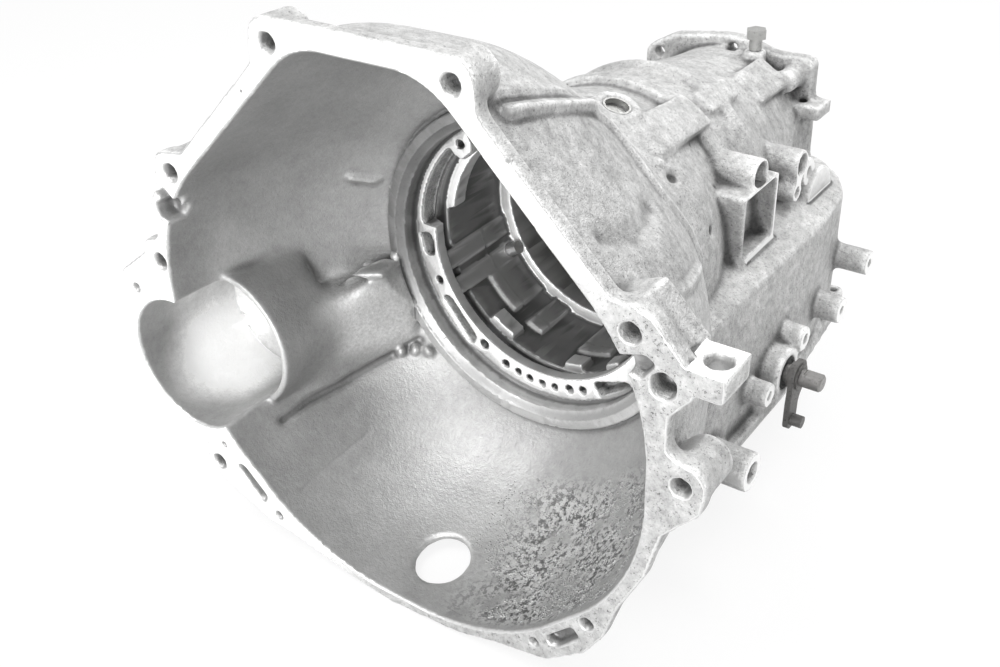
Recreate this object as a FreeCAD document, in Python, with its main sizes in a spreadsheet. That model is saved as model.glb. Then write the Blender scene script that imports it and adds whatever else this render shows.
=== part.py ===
import FreeCAD, Part
import math
import os
import Sketcher
from types import SimpleNamespace

# Bare automatic gearbox housing: one aluminium casting with an integral bell,
# a starter pocket, a ribbed barrel with splined clutch seats, a pan rail below
# and a flange at the rear, with the few small pieces that stay in a bare housing.
# Frame: the bell mouth is the plane y = 0 and faces -Y, the crank axis is the
# Y axis, +Z is up, +X is the side of the selector shaft. Millimetres.

os.makedirs("parts", exist_ok=True)
doc = FreeCAD.newDocument("GearboxHousing")
sheet = doc.addObject("Spreadsheet::Sheet", "Sizes")
Vector = FreeCAD.Vector


class Size:
    """A number together with the sheet expression that gives it."""

    def __init__(self, number, text):
        self.number = float(number)
        self.text = text

    def __add__(self, other):
        other = size_of(other)
        return Size(self.number + other.number, f"({self.text} + {other.text})")

    def __sub__(self, other):
        other = size_of(other)
        return Size(self.number - other.number, f"({self.text} - {other.text})")

    def __mul__(self, other):
        other = size_of(other)
        return Size(self.number * other.number, f"({self.text} * {other.text})")

    def __truediv__(self, other):
        other = size_of(other)
        return Size(self.number / other.number, f"({self.text} / {other.text})")

    def __neg__(self):
        return Size(-self.number, f"(0 - {self.text})")

    __radd__ = __add__
    __rmul__ = __mul__

    def __rsub__(self, other):
        return size_of(other) - self


def size_of(value):
    """Any number as a Size, so that plain numbers and cells mix."""
    if isinstance(value, Size):
        return value
    return Size(value, f"({value:.10g})")


def around(radius, degrees):
    """The two coordinates of a point at an angle on a circle."""
    radius = size_of(radius)
    degrees = size_of(degrees)
    turn = math.radians(degrees.number)
    across = Size(radius.number * math.cos(turn), f"({radius.text} * cos({degrees.text}))")
    up = Size(radius.number * math.sin(turn), f"({radius.text} * sin({degrees.text}))")
    return across, up


# Driving sizes

DRIVING = {
    # bell mouth, seen from the front: inner outline
    "mouthTopHalf": 44,
    "mouthTopZ": 191,
    "mouthTopRound": 52,
    "mouthRightX": 172,
    "mouthRightUpperZ": 61,
    "mouthRightLowerZ": -77,
    "mouthUpperRound": 132,
    "mouthLowerRound": 148,
    "mouthBottomRightX": 67,
    "mouthBottomLeftX": -83,
    "mouthBottomZ": -182.5,
    "mouthLeftX": -186,
    "mouthLeftUpperZ": 58,
    "mouthLeftLowerZ": -77,
    # bell depth and wall
    "bellWall": 6.5,
    "bellMidY": 72,
    "bellMidBlend": 0.17,
    "bellDeepY": 122,
    "bellDeepBlend": 0.56,
    "bellBackY": 150,
    "bellBackRadius": 117,
    "bellSkirtY": 160,
    "flangeThick": 11,
    # holes in the mouth flange
    "boltHole": 5.8,
    "dowelHole": 7.3,
    "topEarX": 61,
    "topEarZ": 190.5,
    "earRadius": 14,
    "earLength": 24,
    "upperBoltRightX": 161.2,
    "upperBoltRightZ": 86,
    "upperBoltLeftX": -163,
    "upperBoltLeftZ": 92,
    "dowelX": 180,
    "dowelZ": 62,
    "lowerBoltRightX": 192.5,
    "lowerBoltRightZ": 5,
    "lowerBoltLeftX": -192,
    "lowerBoltLeftZ": 21.5,
    "footHoleRightX": 138,
    "footHoleRightZ": -122,
    "footHoleLeftX": -172.5,
    "footHoleLeftZ": -137,
    "coverScrewRightX": 100.4,
    "coverScrewRightZ": -159.2,
    "coverScrewLeftX": -118,
    "coverScrewLeftZ": -162,
    "coverScrewHole": 3.4,
    "footHole": 4.6,
    "dowelDepth": 15,
    "flangePocket": 9,
    "rearBolt": 4.2,
    "starterScrewX": -225,
    "starterScrewZ": -8,
    # starter pocket
    "starterX": -187,
    "starterZ": -59,
    "starterRadius": 49.5,
    "starterWall": 5,
    "starterNoseY": 40,
    "starterDepth": 92,
    # hole through the bell floor
    "drainHoleX": -6,
    "drainHoleY": 37,
    "drainHoleRadius": 19.5,
    # pump seat
    "collarRadius": 118,
    "lipY": 141,
    "lipRadius": 110.8,
    "pumpBore": 105.5,
    "pumpFaceY": 157.8,
    "pumpFaceInner": 87,
    "pumpFaceThick": 9,
    # barrel
    "drumRadius": 111,
    "drumEndY": 200,
    "waistRadius": 95,
    "waistY": 249,
    "midRadius": 93,
    "shoulderRadius": 85,
    "shoulderY": 344,
    "barrelEndY": 368,
    "barrelBore": 96,
    "lugRadius": 88,
    "frontLugY": 180,
    "frontLugLength": 14,
    "rearLugY": 203,
    "rearLugLength": 39,
    "seatBore": 82,
    "seatY": 242,
    "supportY": 330,
    "supportBore": 62,
    "supportThick": 12,
    "chamberBore": 70,
    # tail cone and rear flange
    "tailRootRadius": 77,
    "tailRootY": 382,
    "tailRadius": 70,
    "tailBore": 54,
    "rearFaceY": 450,
    "rearFlangeThick": 13,
    "bushingRadius": 30,
    "bushingWall": 2.5,
    "bushingLength": 26,
    "rearWallThick": 30,
    # pan skirt and rail
    "skirtTopX": 90,
    "skirtTopZ": 2,
    "skirtShoulderX": 127,
    "skirtShoulderZ": -14,
    "skirtX": 132,
    "skirtKneeZ": -62,
    "skirtWall": 8,
    "skirtFrontY": 150,
    "skirtRearY": 420,
    "skirtRound": 36,
    "railX": 140,
    "railRearX": 126,
    "railZ": -122,
    "railThick": 10,
    "railBolt": 3.4,
    "panFrontY": 178,
    "panRearY": 402,
    "valveFaceZ": -103,
    "trackDepth": 9,
    # side cavities between the barrel and the skirt
    "cavityShell": 97,
    # selector shaft and levers
    "shaftY": 251,
    "shaftZ": -86,
    "shaftRadius": 6.5,
    "shaftEndX": 174,
    "shaftInnerX": 80,
    "shaftBossRadius": 18,
    "shaftBossX": 148,
    "runningFit": 0.05,
    "leverX": 153,
    "leverThick": 4,
    "leverReach": 33,
    "sealRadius": 12,
    "sealDepth": 8,
    # bosses and ribs on the bell
    "bellRib": 7,
    "boltBossLength": 34,
    "footBossLength": 20,
    "lugLowX": 187,
    "lugHighX": 212,
    "lugTopZ": 77,
    "lugThick": 15,
    "lugDepth": 29,
    "lugHole": 7.2,
    # ribs and blocks on the barrel
    "ringRibFirstY": 259,
    "ringRibFirstWidth": 16,
    "ringRibFirstRadius": 99.5,
    "ringRibSecondY": 305,
    "ringRibSecondWidth": 11,
    "ringRibSecondRadius": 96,
    "frontPadStartY": 190,
    "frontPadEndY": 274,
    "middlePadStartY": 291,
    "middlePadEndY": 338,
    "tailPadStartY": 371,
    "tailPadEndY": 420,
    # pan rail
    "skirtTaperY": 300,
    "railFrontY": 168,
    "railRearY": 424,
    "railInset": 9,
    "railPad": 8.5,
    # box of ribs on the selector side
    "boxFrontY": 242,
    "boxRearY": 288,
    "boxTopZ": 44,
    "boxX": 111,
    "boxRib": 4,
    # bosses on the selector side
    "bossX": 150,
    "bossOneX": 165,
    "bossOneY": 162,
    "bossOneZ": -108,
    "bossOneRadius": 14,
    "bossOneHole": 7.5,
    "rearHousingX": 110,
    "rearHousingY": 376,
    "rearHousingZ": -8,
    "rearHousingRadius": 22,
    # plugs, pins and vent
    "cupPlugY": 200,
    "cupPlugTurn": 18,
    "cupPlugRadius": 9.5,
    "cupPlugSheet": 1.5,
    "ventX": 27,
    "ventY": 425,
    "ventRadius": 5,
    "ventSeatZ": 76,
    "ventLength": 16,
    "anchorTurn": 210,
    "boreStep": 3,
    "ridgeInner": 91,
    "anchorY": 236,
    "anchorRadius": 5,
    "lockPinRadius": 1.5,
    "lockPinX": 131,
    # parking pawl
    "pawlPivotTurn": 222,
    "pawlPivotReach": 72,
    "pawlPinRadius": 5,
    "pawlY": 340,
    "pawlThick": 9,
    "springWire": 0.9,
    "springGap": 0.3,
    "springTurns": 4,
    # inner lever
    "neckRadius": 4.6,
    "detentX": 90,
    "detentThick": 4,
    "detentReach": 28,
    "nutThick": 5.5,
    "nutFlats": 15,
}

# Spans of the clutch lugs and of two oil ridges, in degrees from +X towards +Z
FRONT_LUGS = [(118, 173), (231, 245), (274, 284), (297, 305), (318, 334), (350, 372), (34, 62), (80, 100)]
REAR_LUGS = [(112, 150), (214, 235), (243, 252), (272, 290), (300, 312), (322, 336), (350, 378),
             (36, 58), (72, 94)]
OIL_RIDGES = [(193, 202), (206, 214)]

# Plan corners of the oil tracks in the valve face: (low x, low y), (high x, high y)
OIL_TRACKS = [
    ((20, 262), (32, 330)), ((38, 300), (50, 388)), ((-50, 190), (-38, 262)),
    ((-32, 250), (-20, 330)), ((-62, 300), (-50, 384)), ((-6, 190), (6, 236)),
    ((20, 190), (50, 202)), ((-34, 372), (24, 384)), ((12, 344), (30, 356)), ((-62, 276), (-42, 288)),
]

# Hollow bays of the skirt: side, front y, rear y
SIDE_CAVITIES = [
    (1, 184, 206), (1, 212, 290), (1, 296, 338), (1, 344, 396),
    (-1, 184, 226), (-1, 232, 284), (-1, 290, 338), (-1, 344, 396),
]

# Screw holes of the rear flange: x, z
REAR_BOLTS = [(-64, 55), (2, 69), (57, 57), (66, -42), (0, -74), (-68, -42)]

s = SimpleNamespace()
for row, (alias, number) in enumerate(DRIVING.items(), start=1):
    sheet.set(f"A{row}", alias)
    sheet.set(f"B{row}", f"{number:.10g}")
    sheet.setAlias(f"B{row}", alias)
    setattr(s, alias, Size(number, f"Sizes.{alias}"))
doc.recompute()


# Helpers that place and bind document objects

FRONT = FreeCAD.Rotation(Vector(1, 0, 0), 90)
SIDE = FreeCAD.Rotation(Vector(1, 1, 1), 120)
LEVEL = FreeCAD.Rotation()
ALONG = {"X": Vector(1, 0, 0), "Y": Vector(0, 1, 0), "Z": Vector(0, 0, 1)}
PLANES = {"front": (FRONT, "Y"), "side": (SIDE, "X"), "level": (LEVEL, "Z")}
ORIGIN_PLANES = {"front": "XZ_Plane", "side": "YZ_Plane", "level": "XY_Plane"}
STAND = {
    "X": FreeCAD.Rotation(Vector(0, 1, 0), 90),
    "Y": FreeCAD.Rotation(Vector(1, 0, 0), -90),
    "Z": FreeCAD.Rotation(),
}


def bind(item, name, value):
    """Set a property from a Size through an expression."""
    item.setExpression(name, size_of(value).text)


def place(item, spot, rotation=None):
    """Put an object at a spot made of Sizes."""
    spot = [size_of(value) for value in spot]
    base = Vector(*[value.number for value in spot])
    item.Placement = FreeCAD.Placement(base, rotation or FreeCAD.Rotation())
    for letter, value in zip("xyz", spot):
        bind(item, f"Placement.Base.{letter}", value)


def sketch_on(name, plane, offset, body=None):
    """An empty sketch on a plane square to Y, X or Z at an offset."""
    rotation, axis = PLANES[plane]
    if body:
        sketch = body.newObject("Sketcher::SketchObject", name)
        role = ORIGIN_PLANES[plane]
        for feature in body.Origin.OriginFeatures:
            if feature.Role == role:
                sketch.AttachmentSupport = [(feature, "")]
        sketch.MapMode = "FlatFace"
        bind(sketch, "AttachmentOffset.Base.z", offset if plane != "front" else size_of(0) - offset)
        return sketch
    sketch = doc.addObject("Sketcher::SketchObject", name)
    spot = [0, 0, 0]
    spot["XYZ".index(axis)] = offset
    place(sketch, spot, rotation)
    return sketch


def pin_point(sketch, geometry, position, across, up, label):
    """Hold a sketch point at two bound distances from the origin."""
    for kind, value, letter in (("DistanceX", across, "X"), ("DistanceY", up, "Y")):
        value = size_of(value)
        number = sketch.addConstraint(
            Sketcher.Constraint(kind, -1, 1, geometry, position, value.number))
        sketch.renameConstraint(number, label + letter)
        sketch.setExpression(f"Constraints.{label}{letter}", value.text)


def outline(name, plane, offset, corners, body=None):
    """A closed outline of straight runs with rounded or sharp corners.

    Each corner is (across, up) or (across, up, round), all of them Sizes or numbers.
    """
    sketch = sketch_on(name, plane, offset, body)
    corners = [tuple(size_of(value) for value in corner) for corner in corners]
    points = [Vector(corner[0].number, corner[1].number, 0) for corner in corners]
    count = len(corners)
    leave, reach, arcs = [], [], []
    for index, corner in enumerate(corners):
        here = points[index]
        back = (points[index - 1] - here).normalize()
        ahead = (points[(index + 1) % count] - here).normalize()
        radius = corner[2].number if len(corner) > 2 else 0
        if radius == 0:
            reach.append(here)
            leave.append(here)
            arcs.append(None)
            continue
        half = back.getAngle(ahead) / 2
        trim = radius / math.tan(half)
        centre = here + (back + ahead).normalize() * (radius / math.sin(half))
        reach.append(here + back * trim)
        leave.append(here + ahead * trim)
        left_turn = (back * -1).cross(ahead).z > 0
        begin, end = (reach[-1], leave[-1]) if left_turn else (leave[-1], reach[-1])
        turn_a = math.atan2(begin.y - centre.y, begin.x - centre.x)
        turn_b = math.atan2(end.y - centre.y, end.x - centre.x)
        circle = Part.Circle(centre, Vector(0, 0, 1), radius)
        arcs.append((Part.ArcOfCircle(circle, turn_a, turn_b), left_turn))
    lines = []
    for index in range(count):
        segment = Part.LineSegment(leave[index], reach[(index + 1) % count])
        lines.append(sketch.addGeometry(segment, False))
    for index, corner in enumerate(corners):
        label = f"corner{index}"
        before, after = lines[index - 1], lines[index]
        if arcs[index] is None:
            sketch.addConstraint(Sketcher.Constraint("Coincident", before, 2, after, 1))
            pin_point(sketch, after, 1, corner[0], corner[1], label)
            continue
        curve, left_turn = arcs[index]
        arc = sketch.addGeometry(curve, False)
        first, last = (1, 2) if left_turn else (2, 1)
        sketch.addConstraint(Sketcher.Constraint("Tangent", before, 2, arc, first))
        sketch.addConstraint(Sketcher.Constraint("Tangent", after, 1, arc, last))
        number = sketch.addConstraint(Sketcher.Constraint("Radius", arc, corner[2].number))
        sketch.renameConstraint(number, label + "Round")
        sketch.setExpression(f"Constraints.{label}Round", corner[2].text)
        point = sketch.addGeometry(Part.Point(points[index]), True)
        sketch.addConstraint(Sketcher.Constraint("PointOnObject", point, 1, before))
        sketch.addConstraint(Sketcher.Constraint("PointOnObject", point, 1, after))
        pin_point(sketch, point, 1, corner[0], corner[1], label)
    return sketch


def circles(name, plane, offset, spots, body=None):
    """A sketch of circles, each (across, up, radius)."""
    sketch = sketch_on(name, plane, offset, body)
    for index, (across, up, radius) in enumerate(spots):
        across, up, radius = size_of(across), size_of(up), size_of(radius)
        circle = Part.Circle(Vector(across.number, up.number, 0), Vector(0, 0, 1), radius.number)
        geometry = sketch.addGeometry(circle, False)
        number = sketch.addConstraint(Sketcher.Constraint("Radius", geometry, radius.number))
        sketch.renameConstraint(number, f"radius{index}")
        sketch.setExpression(f"Constraints.radius{index}", radius.text)
        pin_point(sketch, geometry, 3, across, up, f"centre{index}")
    return sketch


def raised(name, sketch, axis, length):
    """A sketch pushed out along +X, +Y or +Z."""
    solid = doc.addObject("Part::Extrusion", name)
    solid.Base = sketch
    solid.DirMode = "Custom"
    solid.Dir = ALONG[axis]
    solid.Solid = True
    bind(solid, "LengthFwd", length)
    return solid


def turned(name, sketch):
    """A profile of (radius, y) turned once round the crank axis."""
    solid = doc.addObject("Part::Revolution", name)
    solid.Source = sketch
    solid.Axis = ALONG["Y"]
    solid.Base = Vector(0, 0, 0)
    solid.Angle = 360
    solid.Solid = True
    return solid


def lofted(name, sections):
    """A smooth solid through outlines that have the same number of edges."""
    solid = doc.addObject("Part::Loft", name)
    solid.Sections = sections
    solid.Solid = True
    solid.Ruled = False
    return solid


def rod(name, axis, spot, radius, length):
    """A cylinder that starts at a spot and runs along +X, +Y or +Z."""
    solid = doc.addObject("Part::Cylinder", name)
    bind(solid, "Radius", radius)
    bind(solid, "Height", length)
    place(solid, spot, STAND[axis])
    return solid


def slab(name, low, high):
    """A box between two corners."""
    low = [size_of(value) for value in low]
    high = [size_of(value) for value in high]
    solid = doc.addObject("Part::Box", name)
    for side, (start, stop) in zip(("Length", "Width", "Height"), zip(low, high)):
        bind(solid, side, stop - start)
    place(solid, low)
    return solid


def joined(name, pieces):
    """Several solids as one."""
    solid = doc.addObject("Part::MultiFuse", name)
    solid.Shapes = pieces
    return solid


def cut_from(name, base, tool):
    """One solid less another."""
    solid = doc.addObject("Part::Cut", name)
    solid.Base = base
    solid.Tool = tool
    return solid


# Bell: four outlines from the mouth to the pump seat

def mouth_corners():
    return [
        (-s.mouthTopHalf, s.mouthTopZ, s.mouthTopRound),
        (s.mouthTopHalf, s.mouthTopZ, s.mouthTopRound),
        (s.mouthRightX, s.mouthRightUpperZ, s.mouthUpperRound),
        (s.mouthRightX, s.mouthRightLowerZ, s.mouthLowerRound),
        (s.mouthBottomRightX, s.mouthBottomZ, s.mouthLowerRound),
        (s.mouthBottomLeftX, s.mouthBottomZ, s.mouthLowerRound),
        (s.mouthLeftX, s.mouthLeftLowerZ, s.mouthLowerRound),
        (s.mouthLeftX, s.mouthLeftUpperZ, s.mouthUpperRound),
    ]


def bell_section(name, station, blend, grow):
    """The mouth outline blended towards the round pump seat, grown by a wall."""
    blend = size_of(blend)
    grow = size_of(grow)
    corner_reach = (s.bellBackRadius + grow) / math.cos(math.radians(22.5))
    corners = []
    for index, (across, up, radius) in enumerate(mouth_corners()):
        spread = grow / -s.mouthBottomZ + 1
        round_x, round_z = around(corner_reach, 112.5 - 45 * index)
        corners.append((
            across * spread * (1 - blend) + round_x * blend,
            up * spread * (1 - blend) + round_z * blend,
            radius * (1 - blend) + (s.bellBackRadius + grow) * blend * 0.97,
        ))
    return outline(name, "front", station, corners)


def bell_solid(name, grow, back):
    stations = [(0, 0), (s.bellMidY, s.bellMidBlend), (s.bellDeepY, s.bellDeepBlend), (back, 1)]
    sections = []
    for index, (station, blend) in enumerate(stations):
        sections.append(bell_section(f"{name}Outline{index}", station, blend, grow))
    return lofted(name, sections)


# Bell, flange and starter pocket

ends = 0.5
bell_outside = bell_solid("BellOutside", s.bellWall, s.bellSkirtY)
bell_inside = bell_solid("BellInside", 0, s.bellBackY)

flange_outline = outline("FlangeOutline", "front", 0, [
    (-s.topEarX - s.earRadius, s.topEarZ + s.earRadius, 13),
    (s.topEarX + s.earRadius, s.topEarZ + s.earRadius, 13),
    (s.topEarX + s.earRadius, s.topEarZ - 13, 14),
    (150, 102),
    (172, 99, 10),
    (190, 79, 6),
    (198, 62, 8),
    (183, 44, 8),
    (183, 22, 8),
    (s.lowerBoltRightX + 14, s.lowerBoltRightZ + 12, 11),
    (s.lowerBoltRightX + 12, s.lowerBoltRightZ - 13, 11),
    (183, -32),
    (174, -66),
    (158, -99),
    (s.footHoleRightX + 11, s.footHoleRightZ - 5, 8),
    (136, -148, 6),
    (s.coverScrewRightX + 8, s.coverScrewRightZ - 11, 5),
    (70, -178, 10),
    (40, -187, 40),
    (-20, -191, 60),
    (-72, -182, 60),
    (s.coverScrewLeftX + 8, s.coverScrewLeftZ - 11, 6),
    (s.coverScrewLeftX - 12, s.coverScrewLeftZ - 9, 6),
    (-160, -158, 8),
    (s.footHoleLeftX - 6, s.footHoleLeftZ - 11, 8),
    (s.footHoleLeftX - 13, s.footHoleLeftZ + 5, 8),
    (-178, -108),
    (-205, -98),
    (-238, -44, 10),
    (s.starterScrewX - 13, s.starterScrewZ + 10, 8),
    (-208, 24, 6),
    (s.lowerBoltLeftX - 12, s.lowerBoltLeftZ + 14, 8),
    (-189, 40, 6),
    (-190, 60, 8),
    (-180, 82, 6),
    (s.upperBoltLeftX - 12, s.upperBoltLeftZ + 12, 10),
    (-150, 108),
    (-s.topEarX - s.earRadius, s.topEarZ - 12, 14),
])
flange = raised("Flange", flange_outline, "Y", s.flangeThick)

ear_bosses = raised("EarBosses", circles("EarBossRounds", "front", 0, [
    (-s.topEarX, s.topEarZ, s.earRadius),
    (s.topEarX, s.topEarZ, s.earRadius),
]), "Y", s.earLength)
bolt_bosses = raised("BoltBosses", circles("BoltBossRounds", "front", 0, [
    (s.upperBoltRightX, s.upperBoltRightZ, 13),
    (s.upperBoltLeftX, s.upperBoltLeftZ, 12.5),
    (s.dowelX, s.dowelZ, 12.5),
    (-s.dowelX + 3, s.dowelZ, 12.5),
    (s.lowerBoltRightX, s.lowerBoltRightZ, 13.5),
    (s.lowerBoltLeftX, s.lowerBoltLeftZ, 12.5),
]), "Y", s.boltBossLength)
foot_bosses = raised("FootBosses", circles("FootBossRounds", "front", 0, [
    (s.footHoleRightX, s.footHoleRightZ, 10),
    (s.footHoleLeftX, s.footHoleLeftZ, 11),
    (s.coverScrewRightX, s.coverScrewRightZ, 9),
    (s.coverScrewLeftX, s.coverScrewLeftZ, 9),
    (s.starterScrewX, s.starterScrewZ, 9),
]), "Y", s.footBossLength)

starter_shell = rod("StarterShell", "Y", (s.starterX, 0, s.starterZ),
                    s.starterRadius + s.starterWall, s.starterDepth + s.starterWall)
starter_hump = rod("StarterHump", "Y", (s.starterX, s.starterNoseY, s.starterZ),
                   s.starterRadius + s.starterWall, s.starterDepth + s.starterWall - s.starterNoseY)
starter_bore = rod("StarterBore", "Y", (s.starterX, -ends, s.starterZ),
                   s.starterRadius, s.starterDepth + ends)
starter_fin = raised("StarterFin", outline("StarterFinOutline", "level", -83, [
    (-236, 60), (-219, s.starterDepth + 1), (-236, s.starterDepth + 1)]), "Z", 3.5)
starter_room = cut_from("StarterRoom", starter_bore, starter_fin)

# Raised oil gallery on the bell wall between the starter hump and the pump seat, with a fin on top
gallery_near = outline("GalleryNear", "side", -158, [(50, -114), (156, -114), (156, -40), (37, -40, 16)])
gallery_far = outline("GalleryFar", "side", -100, [(141, -84), (156, -84), (156, -20), (134, -20, 9)])
gallery = lofted("Gallery", [gallery_near, gallery_far])
gallery_fin = raised("GalleryFin", outline("GalleryFinOutline", "level", -24, [
    (-130, 104), (-102, 124), (-102, 150), (-130, 120)]), "Z", 5)

# Ribs on the outside of the bell, from the top ears back to the barrel
rib_corners = [
    (s.flangeThick - 1, 182), (26, 182), (87, 163), (103, 151), (120, 138), (120, 118),
    (s.flangeThick - 1, 140),
]
bell_ribs = []
for name, middle in (("RibLeft", -s.topEarX), ("RibRight", s.topEarX + 3)):
    bell_ribs.append(raised(name, outline(name + "Outline", "side", middle - s.bellRib / 2,
                                          rib_corners), "X", s.bellRib))

# Lug with a vertical hole beside the upper bolt
lug_gusset = raised("LugGusset", outline("LugGussetOutline", "front", 0, [
    (146, 96), (163, 103), (s.lugLowX + 1, s.lugTopZ), (s.lugLowX + 1, s.lugTopZ - s.lugThick),
    (165, 40), (150, 60),
]), "Y", s.boltBossLength)
lug = slab("Lug", (s.lugLowX - 20, 0, s.lugTopZ - s.lugThick), (s.lugHighX, s.lugDepth, s.lugTopZ))

# Barrel: turned outside with its ring ribs and the tail cone

def ring_rib(start, width, top, root):
    """Corners of a rib round the barrel that stands on a root radius."""
    return [(root, start), (top, start + 1.5), (top, start + width - 1.5), (root, start + width)]


barrel = turned("Barrel", outline("BarrelProfile", "level", 0, [
    (0, s.lipY), (s.collarRadius + 7, s.lipY), (s.collarRadius + 7, s.bellSkirtY - 2),
    (s.drumRadius + 3, s.bellSkirtY + 10),
    (s.drumRadius, s.drumEndY - 6),
    (s.drumRadius - 3, s.drumEndY + 10),
    (s.waistRadius, s.waistY),
    *ring_rib(s.ringRibFirstY, s.ringRibFirstWidth, s.ringRibFirstRadius, s.midRadius),
    *ring_rib(s.ringRibSecondY, s.ringRibSecondWidth, s.ringRibSecondRadius, s.midRadius),
    (s.shoulderRadius + 2, s.shoulderY - 4),
    (s.shoulderRadius - 1, s.shoulderY),
    (s.tailRootRadius, s.tailRootY),
    (s.tailRadius, s.rearFaceY - s.rearFlangeThick),
    (s.tailRadius, s.rearFaceY - 3),
    (0, s.rearFaceY - 3),
]))


def sector_of(name, corners, low_turn, high_turn):
    """A profile of (radius, y) turned between two turns from +X towards +Z."""
    solid = turned(name, outline(name + "Profile", "level", 0, corners))
    solid.Angle = high_turn - low_turn
    solid.Placement = FreeCAD.Placement(Vector(), FreeCAD.Rotation(Vector(0, 1, 0), -high_turn))
    return solid


def sector(name, inner, outer, start, length, low_turn, high_turn):
    """A part of a ring between two turns from +X towards +Z."""
    end = size_of(start) + length
    return sector_of(name, [(inner, start), (outer, start), (outer, end), (inner, end)],
                     low_turn, high_turn)


# Raised pads in line along the top right of the barrel: (start y, top there), (end y, top there), turns
TOP_PADS = [
    ("FrontPad", (s.frontPadStartY, 114.5), (s.frontPadEndY, 102.5), 49, 65.5),
    ("MiddlePad", (s.middlePadStartY, 98), (s.middlePadEndY, 93.5), 52.5, 64),
    ("TailPad", (s.tailPadStartY, 83), (s.tailPadEndY, 81), 43, 65),
]
top_pads = []
for name, (start, front_top), (end, rear_top), low_turn, high_turn in TOP_PADS:
    root = size_of(rear_top) - 12
    top_pads.append(sector_of(name, [(root, start), (front_top, start), (rear_top, end), (root, end)],
                              low_turn, high_turn))

# Pan skirt and pan rail

def skirt_corners(grow):
    """Half section of the skirt, right side, less a wall."""
    return [
        (s.skirtTopX - grow, s.skirtTopZ - grow),
        (s.skirtShoulderX - grow, s.skirtShoulderZ - grow),
        (s.skirtX - grow, s.skirtKneeZ),
    ]


right_side = skirt_corners(0)
left_side = [(-across, up) for across, up in reversed(right_side)]
skirt_section = outline("SkirtSection", "front", s.skirtFrontY,
                        [(s.skirtX, s.railZ + 1)] + right_side[::-1]
                        + left_side[::-1] + [(-s.skirtX, s.railZ + 1)])
skirt_long = raised("SkirtLong", skirt_section, "Y", s.skirtRearY - s.skirtFrontY)


def skirt_plan_corners(wall):
    """The skirt seen from above, drawn in by a wall."""
    side = s.skirtX + 1 - wall
    rear_side = s.railRearX - 6 - wall
    rear = s.skirtRearY - wall
    bend = s.skirtRound - wall
    return [
        (side, s.skirtFrontY - 1), (side, s.skirtTaperY, 90), (rear_side, rear, bend),
        (-rear_side, rear, bend), (-side, s.skirtTaperY, 90), (-side, s.skirtFrontY - 1),
    ]


skirt_plan = raised("SkirtPlan", outline("SkirtPlanOutline", "level", s.railZ, skirt_plan_corners(0)),
                    "Z", s.skirtTopZ - s.railZ + 5)
skirt = doc.addObject("Part::Common", "Skirt")
skirt.Base = skirt_long
skirt.Tool = skirt_plan

rail_outline = outline("RailOutline", "level", s.railZ, [
    (-s.railX, s.railFrontY, 16), (s.railX, s.railFrontY, 16),
    (s.railX, s.skirtTaperY - 30, 90), (s.railRearX, s.railRearY, 18),
    (-s.railRearX, s.railRearY, 18), (-s.railX, s.skirtTaperY - 30, 90),
])
rail = raised("Rail", rail_outline, "Z", s.railThick)


def rail_bolts():
    """Pan screw centres round the rail."""
    inset = s.railInset
    spots = []
    for share in (0, 0.25, 0.5, 0.75, 1):
        forward = s.railFrontY + inset + (s.railRearY - s.railFrontY - inset * 2) * share
        half = s.railX - inset
        if share > 0.5:
            half = s.railX - inset - (s.railX - s.railRearX) * (share - 0.5) * 2
        spots += [(half, forward), (-half, forward)]
    for share in (-0.36, 0.36):
        spots += [(s.railX * share, s.railFrontY + inset), (s.railX * share, s.railRearY - inset)]
    return spots


rail_pads = raised("RailPads", circles("RailPadRounds", "level", s.railZ, [
    (across, along, s.railPad) for across, along in rail_bolts()
]), "Z", s.railThick + 4)

# Open box of ribs beside the barrel, and the bosses on the selector side
box_shell = slab("BoxShell", (75, s.boxFrontY - s.boxRib, -12),
                 (s.boxX, s.boxRearY + s.boxRib, s.boxTopZ))
box_room = cut_from("BoxRoom", slab("BoxRoomBlock", (76, s.boxFrontY, -3),
                                    (s.boxX + ends, s.boxRearY, s.boxTopZ - 3)),
                    rod("BoxRoomCore", "Y", (0, s.boxFrontY - 1, 0), s.waistRadius + 0.5,
                        s.boxRearY - s.boxFrontY + 2))

SIDE_BOSSES = [
    # name, y, z, radius, hole, root x, end x, hole depth
    ("BossOne", s.bossOneY, s.bossOneZ, s.bossOneRadius, s.bossOneHole, 104, s.bossOneX, 60),
    ("BossTwo", 217, -85, 9.2, 3.4, 118, s.bossX, 24),
    ("BossThree", 273, -69, 9.2, 3.4, 118, s.bossX, 24),
    ("BossFour", 344, -82, 10.5, 3.4, 112, s.bossX, 24),
    ("BossFive", 395, -65, 10, 3.4, 92, s.bossX, 24),
    ("BossTop", 267, 49.5, 12, 9.8, 66, 109, 22),
    ("BossPortBig", 341, 29, 11, 8, 70, 108, 20),
    ("BossPortSmall", 336, 9, 8, 4, 78, 108, 16),
    ("BossDark", 361, 15, 11, 4, 66, 106, 20),
    ("BossShaft", s.shaftY, s.shaftZ, s.shaftBossRadius, s.shaftRadius + s.runningFit, 100,
     s.shaftBossX, 80),
]
side_bosses = []
side_holes = []
for name, along, up, radius, hole, root, tip, depth in SIDE_BOSSES:
    side_bosses.append(rod(name, "X", (root, along, up), radius, size_of(tip) - root))
    side_holes.append(rod(name + "Hole", "X", (size_of(tip) - depth, along, up), hole,
                          size_of(depth) + ends))
port_web = slab("PortWeb", (74, 333, 4), (108, 343, 30))
seal_seat = rod("SealSeat", "X", (s.shaftBossX - s.sealDepth, s.shaftY, s.shaftZ),
                s.sealRadius, s.sealDepth + ends)

# Round housing at the rear corner of the selector side
rear_housing = rod("RearHousing", "X", (70, s.rearHousingY, s.rearHousingZ),
                   s.rearHousingRadius, s.rearHousingX - 70)

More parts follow.
